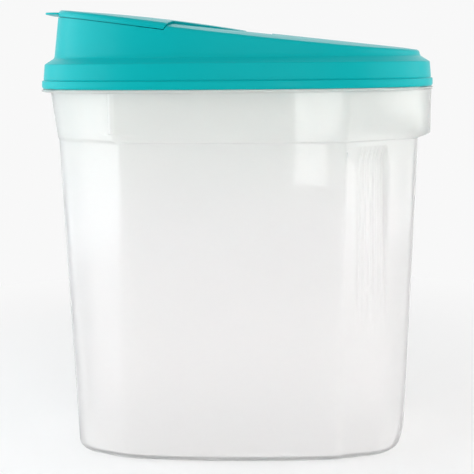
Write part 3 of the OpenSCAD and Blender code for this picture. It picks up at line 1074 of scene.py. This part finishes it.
    def body_half(self, z: float, s: float, ahead: float = 0.0) -> Loop:
        """Return the half outline of the body.

        Args:
            z: Height.
            s: Inset from the outer surface.
            ahead: Distance by which the front corner edge moves forward.

        Returns:
            The points on the +Y side, from the rear to the front.
        """
        drop = self.levels.body_h - z
        share = drop / self.levels.body_h
        fade = max(z / self.levels.body_h, 0.0) ** self.edge_fade
        front_x = -(self.outline.half_l - self.front_inset - drop * tangent(self.front_draft))
        rear_x = self.outline.half_l - self.rear_inset - drop * tangent(self.rear_draft)
        rear_x = rear_x - self.heel * max(0.0, 1 - z / self.heel_h) ** 2
        side_y = self.outline.half_w - self.side_inset - drop * tangent(self.side_draft)
        front_y = blend(self.end_flat_top, self.end_flat_low, share) / 2
        rear_y = front_y + self.rear_flat_more * share / 2
        bow, flat = self.end_bow, self.flat_l / 2
        raw = np.array([[rear_x - bow, -rear_y], [rear_x - bow, rear_y],
                        [flat - self.flat_taper * share, side_y],
                        [-(flat + self.flat_ahead + ahead), side_y],
                        [front_x + bow, front_y], [front_x + bow, -front_y]])
        inner = [inset_corner(raw[i - 1], raw[i], raw[i + 1], s) for i in range(1, 5)]
        c = [raw[0] - (s, 0.0), *inner, raw[5] + (s, 0.0)]
        end_r = blend(self.end_r_top, self.end_r_low, share) - s
        rear_r = max(blend(self.rear_r_low, self.edge_r_top, fade) - s, self.least_r)
        front_r = max(blend(self.edge_r_low, self.edge_r_top, fade) - s, self.least_r)
        rear_end = round_corner(c[0], c[1], c[2], end_r, self.end_steps)
        rear_edge = round_corner(c[1], c[2], c[3], rear_r, self.edge_steps)
        front_edge = round_corner(c[2], c[3], c[4], front_r, self.edge_steps)
        front_end = round_corner(c[3], c[4], c[5], end_r, self.end_steps)
        grip = self.grip_points(z, c[2], unit(c[1] - c[2]), distance(rear_end[-1], c[2]),
                                distance(rear_edge[0], c[2]) + self.grip_clear)
        steps = np.arange(1, self.before_grip + 1) / (self.before_grip + 1)
        loop = np.vstack([bowed_end(rear_x - s, rear_end[0], self.end_points), rear_end,
                          between(rear_end[-1], grip[0], steps), grip, rear_edge,
                          edge_spread(rear_edge[-1], front_edge[0], self.side_points), front_edge,
                          edge_spread(front_edge[-1], front_end[0], self.cut_points), front_end,
                          bowed_end(front_x + s, front_end[-1], self.end_points)[::-1]])
        x, y = loop.T
        side = (y > 0) & (abs(x) < flat)
        return np.column_stack([x, y + np.where(side, self.side_bow * (1 - (x / flat) ** 2), 0)])

    def oval_share(self, x: np.ndarray, lean: float) -> np.ndarray:
        """Return the share by which the collar follows the lid's oval.

        Args:
            x: Places along the part.
            lean: 0 at the collar's step and 1 at the flange.

        Returns:
            The shares, 0 in the front half and 1 at the rear end.
        """
        start, run = self.flange_oval
        above = ramp(x, self.flat_l * start, self.flat_l * run)
        return blend(ramp(x, *self.step_oval), above, smooth(lean / self.oval_lean))

    def collar_half(self, lean: float, s: float, rib: float) -> Loop:
        """Return the half outline of the collar.

        Args:
            lean: 0 at its step and 1 at the flange.
            s: Inset from the outer surface.
            rib: Height of the rib along its front corner edge.

        Returns:
            The points on the +Y side, from the rear to the front.
        """
        plain = self.body_half(self.levels.body_h, s - self.collar_out, self.collar_ahead)
        x, y = plain.T
        flat, edge = self.flat_l / 2, plain[self.edge_at]
        ends = smooth((-x - flat) / (self.outline.half_l - self.front_inset - flat))
        away = np.sign(x - edge[0]) * np.linalg.norm(plain - edge, axis=1)
        fall = 0.5 * ramp(away, *self.rib_back) + 0.5 * ramp(away, *self.rib_tail)
        middle, reach = self.rib_groove
        groove = 0.5 * np.exp(-((away - middle) / reach) ** 2)
        proud = rib * (ramp(away, *self.rib_front) * (1 - fall) - groove)
        narrow = 1 - self.collar_narrow * lean * ends / (self.end_flat_top / 2)
        own = np.column_stack([
            x + (self.collar_front - self.collar_lean * lean) * ends + proud * self.rib_way[0],
            y * narrow + proud * self.rib_way[1]])
        oval = self.outline.towards(plain, self.collar_inset + s)
        return blend(own, oval, self.oval_share(x, lean)[:, None])

    def step_rise(self) -> np.ndarray:
        """Return how far the collar's step rises at each point of its loop, at the part's ends."""
        x = both_halves(self.collar_half(0, 0, 0))[:, 0]
        return self.collar_rise * (ramp(x, *self.rise_rear) + ramp(-x, *self.rise_front))

    def rim(self, s: float) -> Loop:
        """Return the rim's loop at inset s, in the directions of the collar's points."""
        return both_halves(self.outline.towards(self.collar_half(1, 0, 0), s))

    def body_ring(self, z: float, s: float) -> np.ndarray:
        """Return the body's ring at height z, moved in by s."""
        return lift(both_halves(self.body_half(z, s)), z)

    def collar_ring(self, lean: float, s: float, rib: float, z: np.ndarray) -> np.ndarray:
        """Return the collar's ring at a lean, moved in by s, with its points at the heights z."""
        return lift(both_halves(self.collar_half(lean, s, rib)), z)

    def climb(self) -> np.ndarray:
        """Return the heights of the body's rings above its foot, closest at the grips' top."""
        top = self.grip_top
        return np.concatenate([[8, 10, 12.5, 16], np.linspace(24, 70, 6),
                               np.linspace(74, top - 12, 22),
                               top - 11 * np.linspace(1, 0, 14)[1:] ** 2])

    def outer_rings(self) -> list[np.ndarray]:
        """Return the rings of the outside.

        Returns:
            The rings, from the foot up to the flange.
        """
        lv = self.levels
        rings = [self.body_ring(z, s) for z, s in edge_arc(self.foot_r, np.arange(0, 91, 10))]
        rings += [self.body_ring(z, 0) for z in self.climb()]
        rings += [self.body_ring(z, 0) for z in (self.grip_top + 1, lv.body_h - 0.9, lv.body_h - 0.3)]
        low = both_halves(self.body_half(lv.body_h, 0))
        high = both_halves(self.collar_half(0, 0, 0))
        rise = self.step_rise()
        rings += [lift(blend(low, high, smooth(t)), lv.body_h + (lv.step_h + rise) * t)
                  for t in np.linspace(0, 1, 9)]
        for lean in (0.02, 0.05, 0.08, 0.11, 0.125, 0.14, 0.155, 0.17, 0.2, 0.3, 0.45, 0.6, 0.75,
                     0.88, 0.96, 0.985, 1.0):
            rib = self.collar_rib * float(ramp(lean, *self.rib_lean))
            left = rise * (1 - smooth(lean / self.rise_lean))
            rings.append(self.collar_ring(lean, 0, rib, blend(lv.collar_z, lv.flange_z, lean) + left))
        return rings

    def rim_rings(self) -> list[np.ndarray]:
        """Return the rings of the flange and the lip.

        Returns:
            The rings, from the flange's underside over the lip to the foot of its inner face.
        """
        lv, wall, out, lip = self.levels, self.levels.wall, -self.flange_out, self.levels.lip_in
        far, mid = self.flange_round
        path = [(out + far, lv.flange_z), (out + mid, lv.flange_z + mid), (out, lv.flange_z + far),
                (out, lv.shelf_z - far), (out + mid, lv.shelf_z - mid), (out + far, lv.shelf_z)]
        far, mid = self.lip_round
        path += [(lip - far, lv.shelf_z), (lip - mid, lv.shelf_z + mid), (lip, lv.shelf_z + far),
                 (lip, (lv.shelf_z + lv.lip_z) / 2)]
        path += [(lip + s, lv.lip_z - z) for s, z in edge_arc(wall / 2, np.arange(0, 181, 20))]
        path += [(lip + wall, lv.shelf_z + 3 * wall), (lip + wall, lv.shelf_z + 2 * wall)]
        return [lift(self.rim(s), z) for s, z in path]

    def inner_rings(self) -> list[np.ndarray]:
        """Return the rings of the inside.

        Returns:
            The rings, from the lip down to the floor.
        """
        lv, wall = self.levels, self.levels.wall
        under_lip = self.rim(lv.lip_in + wall)
        collar = both_halves(self.collar_half(1, wall, 0))
        rings = [lift(blend(under_lip, collar, t), lv.shelf_z + 2 * wall * (1 - t))
                 for t in (0.33, 0.67, 1.0)]
        rise = self.step_rise()
        for lean in (0.8, 0.6, 0.4, 0.2, 0.05, 0.0):
            z = blend(lv.collar_z + wall, lv.shelf_z, lean) + rise * (1 - lean)
            rings.append(self.collar_ring(lean, wall, 0, z))
        rings.append(self.body_ring(lv.body_h + wall * 0.6, wall))
        rings += [self.body_ring(z, wall) for z in self.climb()[::-1]]
        rings += [self.body_ring(self.floor_t + z, wall + s)
                  for z, s in edge_arc(self.foot_r - wall, np.arange(80, -1, -16))]
        return rings

    def mark_ribs(self, shell: Solid, rings: Sequence[np.ndarray]) -> None:
        """Store on the shell where its grips' ribs go and how tall they are, in metres.

        Args:
            shell: The shell, in metres, whose points are those of the rings in their order.
            rings: All its rings, in millimetres.
        """
        n, share = len(rings[0]), np.linspace(0, 1, self.bed_points)
        place, height = np.full(n * len(rings), -1.0), np.zeros(n * len(rings))
        outer = next(k for k, ring in enumerate(rings) if ring[0][2] > self.levels.body_h - 1)
        for k in range(outer):
            depth = self.depth_at(float(rings[k][0][2]))
            tall = min(self.rib_h, depth * self.rib_depth_share) * MM
            for start, step in ((k * n + self.bed_at, 1), (k * n + n - self.bed_at, -1)):
                at = start + step * np.arange(self.bed_points)
                place[at], height[at] = share, tall
        for name, values in zip(RIB_MARKS, (place, height)):
            mark = shell.data.attributes.new(name, "FLOAT", "POINT")
            mark.data.foreach_set("value", values.astype(np.float32))

    def raise_ribs(self, shell: Solid, material: bpy.types.Material) -> Solid:
        """Raise the grips' ribs with Geometry Nodes.

        Args:
            shell: The shell with its marks, in metres.
            material: The finish that the tree gives it.

        Returns:
            The same object with a plain mesh.
        """
        tree = bpy.data.node_groups.new("grip_ribs", "GeometryNodeTree")
        kinds = (("Geometry", "Geometry"), ("Rib Count", "Int"), ("Rib Scale", "Float"),
                 ("Finish", "Material"))
        sockets = {name: tree.interface.new_socket(name, in_out="INPUT",
                                                   socket_type=f"NodeSocket{kind}")
                   for name, kind in kinds}
        tree.interface.new_socket("Geometry", in_out="OUTPUT", socket_type="NodeSocketGeometry")
        n = Nodes(tree)
        enter = n.add("NodeGroupInput").outputs
        place, tall = (n.add("GeometryNodeInputNamedAttribute", {"Name": name}, data_type="FLOAT")
                       .outputs["Attribute"] for name in RIB_MARKS)
        cells = n.math("MULTIPLY_ADD", enter["Rib Count"], 2.0, 1.0)
        index = n.math("MAXIMUM", n.math("MULTIPLY_ADD", place, cells, -0.5), 0.0)
        held = n.math("MINIMUM", index, n.math("MULTIPLY", enter["Rib Count"], 2.0))
        wave = n.math("COSINE", n.math("MULTIPLY", held, math.pi))
        crest = n.math("POWER", n.math("MULTIPLY_ADD", wave, -0.5, 0.5), self.rib_crest)
        size = n.math("MULTIPLY", n.math("MULTIPLY", crest, tall), enter["Rib Scale"])
        normal = n.add("GeometryNodeInputNormal").outputs["Normal"]
        offset = n.add("ShaderNodeVectorMath", {0: normal, "Scale": size}, operation="SCALE")
        move = n.add("GeometryNodeSetPosition", {"Geometry": enter["Geometry"],
                                                 "Offset": offset.outputs["Vector"]})
        real = n.add("GeometryNodeRealizeInstances", {"Geometry": move.outputs["Geometry"]})
        paint = n.add("GeometryNodeSetMaterial", {"Geometry": real.outputs["Geometry"],
                                                  "Material": enter["Finish"]})
        n.add("NodeGroupOutput", {"Geometry": paint.outputs["Geometry"]})
        modifier = shell.modifiers.new("grip_ribs", "NODES")
        modifier.node_group = tree
        modifier[sockets["Rib Count"].identifier] = self.rib_count
        modifier[sockets["Rib Scale"].identifier] = 1.0
        modifier[sockets["Finish"].identifier] = material
        shell = made_plain(shell, modifier)
        for name in RIB_MARKS:
            if name in shell.data.attributes:
                shell.data.attributes.remove(shell.data.attributes[name])
        return shell

    def build(self, material: bpy.types.Material) -> Solid:
        """Build and dress the container.

        Args:
            material: The frosted plastic.

        Returns:
            The piece that stands for the container.
        """
        rings = self.outer_rings() + self.rim_rings() + self.inner_rings()
        shell = loft("container_shell", rings)
        shell.data.transform(Matrix.Scale(MM, 4))
        self.mark_ribs(shell, rings)
        shell = self.raise_ribs(shell, material)
        shell.data.transform(Matrix.Scale(1 / MM, 4))
        shell = finish_mesh(shell, "container_shell", material, self.sharp_over)
        keep_within(shell, "container")
        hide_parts("container")
        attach(shell, "container")
        return shell


# ---- The lid and its cap ----


@dataclass
class Lid:
    """The push-fit lid: beaded skirt, ledge, hood, mouth with its neck, and the hinge's well.

    The ledge's slope starts past the skirt by ledge_in and ledge_up, as shares of its rounding.
    """

    hood: Hood = Hood()
    hinge: Hinge = Hinge()
    neck_h: float = 1.4
    bead_low_r: float = 1.6
    bead_brow_r: float = 0.6
    ledge_in: float = 0.65
    ledge_up: float = 0.15
    ledge_lift: float = 0.3
    plug_edge: float = 0.4
    mouth_depth: float = 60.0
    sharp_over: float = 32.0

    def bead_path(self) -> list[Sequence[float]]:
        """Return the outer path of the bead and the groove over it.

        Returns:
            Pairs of inset and height, from the lid's lower edge upwards.
        """
        lv = self.hood.levels
        high = lv.lid_z + lv.bead_h * 0.9
        path = [(lv.bead_out * (1 - math.sin(a)), lv.lid_z + self.bead_low_r * (1 - math.cos(a)))
                for a in np.radians(np.arange(0, 91, 15))]
        face, brow = np.array([0.05, high - 2.0]), np.array([0.15, high - 0.45])
        groove = np.array([lv.bead_out + 0.15, high + 0.1])
        return [*path, face, *round_corner(face, brow, groove, self.bead_brow_r, 8), groove,
                (lv.bead_out + 0.12, high + 0.3)]

    def outside(self) -> Solid:
        """Return the lid as its outside shows it.

        Returns:
            A full solid, with no mouth or well.
        """
        lv, oval = self.hood.levels, self.hood.outline.oval
        rise = lv.foot_z - lv.ledge_z - lv.ledge_r * (1 + self.ledge_up)
        slope = rise / (lv.ledge_run - lv.ledge_r * 2 * self.ledge_in)
        edge_z = lv.ledge_z + lv.ledge_r * self.ledge_up - slope * lv.ledge_r * self.ledge_in
        start = np.array([lv.bead_out, lv.lid_z + lv.bead_h])
        corner = np.array([lv.skirt_in, edge_z + self.ledge_lift])
        foot = np.array([lv.foot_in, corner[1] + slope * lv.ledge_run])
        path = self.bead_path() + [start, (start[0] + 0.05, start[1] + 0.4)]
        path += list(round_corner(start, corner, foot, lv.edge_r, 8))
        path += [p for p in round_corner(corner, foot, foot + [0, 9], lv.foot_r, 8)
                 if p[1] < lv.foot_z - 0.1]
        return loft("lid_outside", [lift(oval(s), z) for s, z in path] + self.hood.rings(0, 0))

    def inside(self) -> Solid:
        """Return the hollow under the lid.

        Returns:
            The hollow, with its channel for the lip round the plug wall.
        """
        lv, oval, cut = self.hood.levels, self.hood.outline.oval, self.plug_edge
        low, skirt, plug_out = lv.roof_z - lv.plug_h, lv.bead_out + lv.lid_t, lv.plug_in + lv.lid_t
        path = [(skirt, lv.lid_z - 1), (skirt, lv.lid_z + lv.bead_h),
                (lv.lip_in - lv.seat_gap, lv.roof_z), (lv.plug_in, lv.roof_z),
                (lv.plug_in, low + cut), (lv.plug_in + cut, low), (plug_out - cut, low),
                (plug_out, low + cut), (plug_out, lv.roof_z)]
        return loft("lid_inside", [lift(oval(s), z) for s, z in path] + self.hood.rings(lv.lid_t, 0))

    def cap_room(self, s: float) -> Solid:
        """Return the room that the cap and its hinge take out of the hood.

        Args:
            s: Distance by which the room grows.

        Returns:
            The room, from the seat and the cap's step upwards, with the well.
        """
        hood, hinge = self.hood, self.hinge
        behind = hood.strip(hood.step_x, hinge.x, hinge.well_y + s)
        room = combine(hood.before_step(s), behind, Cut.JOIN)
        room = combine(room, hood.above_seat(s), Cut.KEEP)
        return combine(room, hinge.well(s), Cut.JOIN)

    def build(self, material: bpy.types.Material) -> Solid:
        """Build and dress the lid.

        Args:
            material: The teal plastic.

        Returns:
            The piece that stands for the lid.
        """
        lv, hood, hinge = self.hood.levels, self.hood, self.hinge
        hollow = combine(self.inside(), self.cap_room(lv.lid_t), Cut.REMOVE)
        shell = combine(self.outside(), hollow, Cut.REMOVE)
        shell = combine(shell, self.cap_room(0), Cut.REMOVE)
        neck_in = lv.lid_t + 2 * hood.gap
        shell = combine(shell, hood.mouth(neck_in, -lv.lid_t, self.neck_h), Cut.JOIN)
        bore_r, reach = hinge.pin_r + hinge.pin_clear, hinge.well_y + hinge.pin_l + hood.gap
        for boss in hinge.pair(bore_r + hinge.boss_wall, hinge.well_y, reach + lv.lid_t):
            shell = combine(shell, boss, Cut.JOIN)
        mouth = hood.mouth(neck_in + lv.lid_t, -self.mouth_depth, self.neck_h + 1)
        for room in [mouth, *hinge.pair(bore_r, hinge.well_y - 1, reach)]:
            shell = combine(shell, room, Cut.REMOVE)
        shell = finish_mesh(shell, "lid_shell", material, self.sharp_over)
        keep_within(shell, "lid")
        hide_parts("lid")
        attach(shell, "lid")
        return shell


@dataclass
class FlipCap:
    """The flip cap: domed shell with a stepped skirt, plug ring, thumb tab, ears and pins."""

    hood: Hood = Hood()
    hinge: Hinge = Hinge()
    dome: float = 1.7
    ring_h: float = 2.4
    tab_l: float = 8.5
    tab_w: float = 42.0
    tab_t: float = 1.2
    tab_edge: float = 0.25
    tab_root: float = 6.0
    pin_root: float = 0.5
    sharp_over: float = 32.0

    def body(self, s: float) -> Solid:
        """Return the solid of the cap's outline.

        Args:
            s: Inset from its outer surface.

        Returns:
            The solid, with the narrower tongue at its rear.
        """
        hood, gap, tongue = self.hood, self.hood.gap, self.hinge.tongue_w / 2
        behind = hood.strip(hood.step_x - 3 * hood.levels.lid_t, hood.rear_x - s, tongue - s)
        room = combine(hood.before_step(-gap - s), behind, Cut.JOIN)
        room = combine(room, hood.above_seat(-gap), Cut.KEEP)
        return combine(loft("cap_body", hood.rings(s, self.dome)), room, Cut.KEEP)

    def tab(self) -> Solid:
        """Return the thumb tab.

        Returns:
            A thin plate with rounded front corners and eased edges, in its place.
        """
        r, reach, half, edge = self.tab_w / 4, self.tab_l + self.tab_root, self.tab_w / 2, self.tab_edge
        corner = [[r + r * math.cos(a), half - r + r * math.sin(a)]
                  for a in np.radians(np.linspace(90, 180, 19))]
        loop = both_halves(np.array([[reach, 0], [reach, half]] + corner + [[0, 0]]))
        small = loop + np.array([edge, 0]) * (loop[:, :1] < reach - 1)
        small[:, 1] *= (half - edge) / half
        t, hood = self.tab_t, self.hood
        plate = loft("tab", [lift(small, 0), lift(loop, edge), lift(loop, t - edge), lift(small, t)])
        z = float(hood.ridge_z(hood.front_x)) - hood.top_r / 2 - t
        return placed(plate, hood.seat_slope / 4, (hood.front_x - self.tab_l, 0, z))

    def ears(self) -> list[Solid]:
        """Return the two ears that carry the pins.

        Returns:
            A disc and its root in the cap for each side.
        """
        h, out = self.hinge, []
        for side in Side:
            y = side.value * (h.tongue_w / 2 - h.ear_t / 2)
            out.append(placed(rod("ear", h.ear_r, h.ear_t), 0.0, (h.x, y, h.z)))
            out.append(block("ear_root", (h.x - h.ear_r, y - h.ear_t / 2, h.z),
                             (h.x + h.ear_r, y + h.ear_t / 2, h.z + h.ear_r)))
        return out

    def ring(self) -> Solid:
        """Return the plug ring that fits in the mouth's neck and reaches up into the cap's shell.

        Returns:
            The ring.
        """
        hood, lid_t = self.hood, self.hood.levels.lid_t
        inset = 2 * lid_t + 3 * hood.gap
        ring = hood.mouth(inset, -self.ring_h, hood.edge_h / 2)
        return combine(ring, hood.mouth(inset + lid_t, -self.ring_h - 1, hood.edge_h), Cut.REMOVE)

    def build(self, material: bpy.types.Material) -> Solid:
        """Build and dress the cap.

        Args:
            material: The teal plastic.

        Returns:
            The piece that stands for the cap.
        """
        h, tongue = self.hinge, self.hinge.tongue_w / 2
        cap = combine(self.body(0), self.body(self.hood.levels.lid_t), Cut.REMOVE)
        pins = h.pair(h.pin_r, tongue - self.pin_root, tongue + h.pin_l)
        for part in [self.ring(), self.tab(), *self.ears(), *pins]:
            cap = combine(cap, part, Cut.JOIN)
        cap = finish_mesh(cap, "flip_cap_shell", material, self.sharp_over)
        keep_within(cap, "flip_cap")
        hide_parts("flip_cap")
        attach(cap, "flip_cap")
        return cap


# ---- The studio ----


@dataclass(frozen=True)
class Softbox:
    """One rectangular soft light."""

    name: str
    at: tuple[float, float, float]
    aim: tuple[float, float, float]
    size: tuple[float, float]
    power: float
    colour: Colour = (1.0, 1.0, 1.0)

    def build(self) -> None:
        """Add the light to the scene."""
        lamp = bpy.data.lights.new(self.name, "AREA")
        lamp.shape, lamp.size, lamp.size_y = "RECTANGLE", *self.size
        lamp.energy, lamp.color = self.power, self.colour
        holder = bpy.data.objects.new(self.name, lamp)
        holder.location = self.at
        facing = (Vector(self.aim) - Vector(self.at)).to_track_quat("-Z", "Y")
        holder.rotation_euler = facing.to_euler()
        holder.visible_camera = False
        bpy.context.scene.collection.objects.link(holder)


@dataclass(frozen=True)
class Studio:
    """The floor, the lights and the camera, in metres and degrees."""

    backdrop: float = 0.94
    seen_through: float = 0.85
    fill: float = 0.40
    floor_colour: Colour = (0.94, 0.93, 0.925)
    floor_fade: tuple[float, float] = (0.12, 0.5)
    floor_glow: float = 0.3
    floor_half: float = 8.0
    floor_drop: float = 0.0003
    eye: tuple[float, float, float] = (0.020, -0.6345, 0.2357)
    pitch: float = 9.88
    yaw: float = -1.89
    roll: float = -0.5
    focal_px: float = 1009.0
    frame_px: float = 474.0
    lights: tuple[Softbox, ...] = (
        Softbox("left_box", (-0.56, -0.11, 0.28), (0, 0, 0.13), (0.66, 0.54), 2.9, (0.94, 1.0, 1.04)),
        Softbox("right_box", (0.66, -0.10, 0.31), (0, 0, 0.14), (0.75, 0.60), 3.0),
        Softbox("top_box", (0.0, -0.15, 1.15), (0, 0, 0.1), (1.1, 1.1), 1.0),
        Softbox("back_box", (0.0, 1.1, 0.85), (0, 0, 0.12), (1.4, 0.9), 2.0),
        Softbox("front_box", (0.35, -1.5, 0.9), (0, 0, 0.12), (1.2, 0.9), 3.0),
        Softbox("front_strip", (0.21, -0.93, 0.17), (0.042, -0.08, 0.19), (0.10, 0.34), 0.64),
    )

    def shine(self, n: Nodes, kind: str, through: bpy.types.NodeSocket) -> bpy.types.NodeSocket:
        """Add the backdrop's own light, which is a little lower where the plastic shows it.

        Args:
            n: Helper of the tree that it goes into.
            kind: The kind of shader.
            through: The output that tells rays through the plastic.

        Returns:
            The light's shader.
        """
        strength = n.math("MULTIPLY_ADD", through, self.seen_through - self.backdrop, self.backdrop)
        return n.add(kind, {"Color": (1.0, 1.0, 1.0, 1.0), "Strength": strength}).outputs[0]

    def floor(self) -> None:
        """Add the pale floor, which keeps the object's shadow near it and melts into the backdrop."""
        material = bpy.data.materials.new("pale_floor")
        n = empty_tree(material)
        ray = n.add("ShaderNodeLightPath").outputs
        matt = n.add("ShaderNodeBsdfDiffuse", {"Color": (*self.floor_colour, 1.0)})
        glow = self.shine(n, "ShaderNodeEmission", ray["Is Transmission Ray"])
        place = n.add("ShaderNodeTexCoord").outputs["Object"]
        far = n.add("ShaderNodeVectorMath", {0: place}, operation="LENGTH").outputs["Value"]
        fade = n.fade(far, *self.floor_fade, low=self.floor_glow)
        direct = n.math("MULTIPLY", ray["Is Camera Ray"], fade)
        seen = n.math("MAXIMUM", ray["Is Transmission Ray"], ray["Is Glossy Ray"])
        mix = n.add("ShaderNodeMixShader", {"Fac": n.math("MAXIMUM", direct, seen),
                                            1: matt.outputs["BSDF"], 2: glow})
        n.add("ShaderNodeOutputMaterial", {"Surface": mix.outputs["Shader"]})
        big, z = self.floor_half, -self.floor_drop
        corners = np.array([[-big, -big, z], [big, -big, z], [big, big, z], [-big, big, z]])
        sheet = make_solid("floor", corners, [(0, 1, 2, 3)])
        sheet.data.materials.append(material)

    def sky(self) -> None:
        """Set the even backdrop, and the plain soft light that comes from all round."""
        world = bpy.data.worlds.new("backdrop")
        bpy.context.scene.world = world
        n = empty_tree(world)
        ray = n.add("ShaderNodeLightPath").outputs
        seen = n.math("MAXIMUM", ray["Is Camera Ray"], ray["Is Transmission Ray"])
        soft = n.add("ShaderNodeBackground", {"Color": (1.0, 1.0, 1.0, 1.0), "Strength": self.fill})
        mix = n.add("ShaderNodeMixShader", {
            "Fac": n.math("MAXIMUM", seen, ray["Is Glossy Ray"]),
            1: soft.outputs["Background"],
            2: self.shine(n, "ShaderNodeBackground", ray["Is Transmission Ray"])})
        n.add("ShaderNodeOutputWorld", {"Surface": mix.outputs["Shader"]})

    def camera(self) -> None:
        """Add the camera, level with the lid and turned a little down."""
        p, w, r = (math.radians(a) for a in (self.pitch, self.yaw, self.roll))
        ahead = Vector((math.sin(w) * math.cos(p), math.cos(w) * math.cos(p), -math.sin(p)))
        right = Vector((math.cos(w), -math.sin(w), 0.0))
        up = right.cross(ahead)
        right, up = right * math.cos(r) + up * math.sin(r), up * math.cos(r) - right * math.sin(r)
        lens = bpy.data.cameras.new("camera")
        lens.sensor_fit, lens.sensor_width = "HORIZONTAL", 36.0
        lens.angle = 2 * math.atan(self.frame_px / 2 / self.focal_px)
        lens.clip_start = 0.01
        holder = bpy.data.objects.new("camera", lens)
        turn = Matrix((right, up, -ahead)).transposed().to_4x4()
        holder.matrix_world = Matrix.Translation(Vector(self.eye)) @ turn
        bpy.context.scene.collection.objects.link(holder)
        bpy.context.scene.camera = holder

    def build(self) -> None:
        """Set up the whole studio."""
        bpy.context.scene.view_settings.view_transform = "Standard"
        self.floor()
        self.sky()
        self.camera()
        for light in self.lights:
            light.build()


def report(piece: Solid) -> None:
    """Log a piece with its size."""
    size = [round(v / MM, 1) for v in piece.dimensions]
    LOG.info("%s: %d faces, %s mm", piece.name, len(piece.data.polygons), size)


def main() -> None:
    """Build the studio and the three mouldings in order."""
    logging.basicConfig(level=logging.INFO, format="%(name)s: %(message)s")
    Studio().build()
    surface = moulded_surface_group()
    frosted, teal = FROSTED.material(surface), TEAL.material(surface)
    report(Container().build(frosted))
    report(Lid().build(teal))
    report(FlipCap().build(teal))


if __name__ == "__main__":
    main()
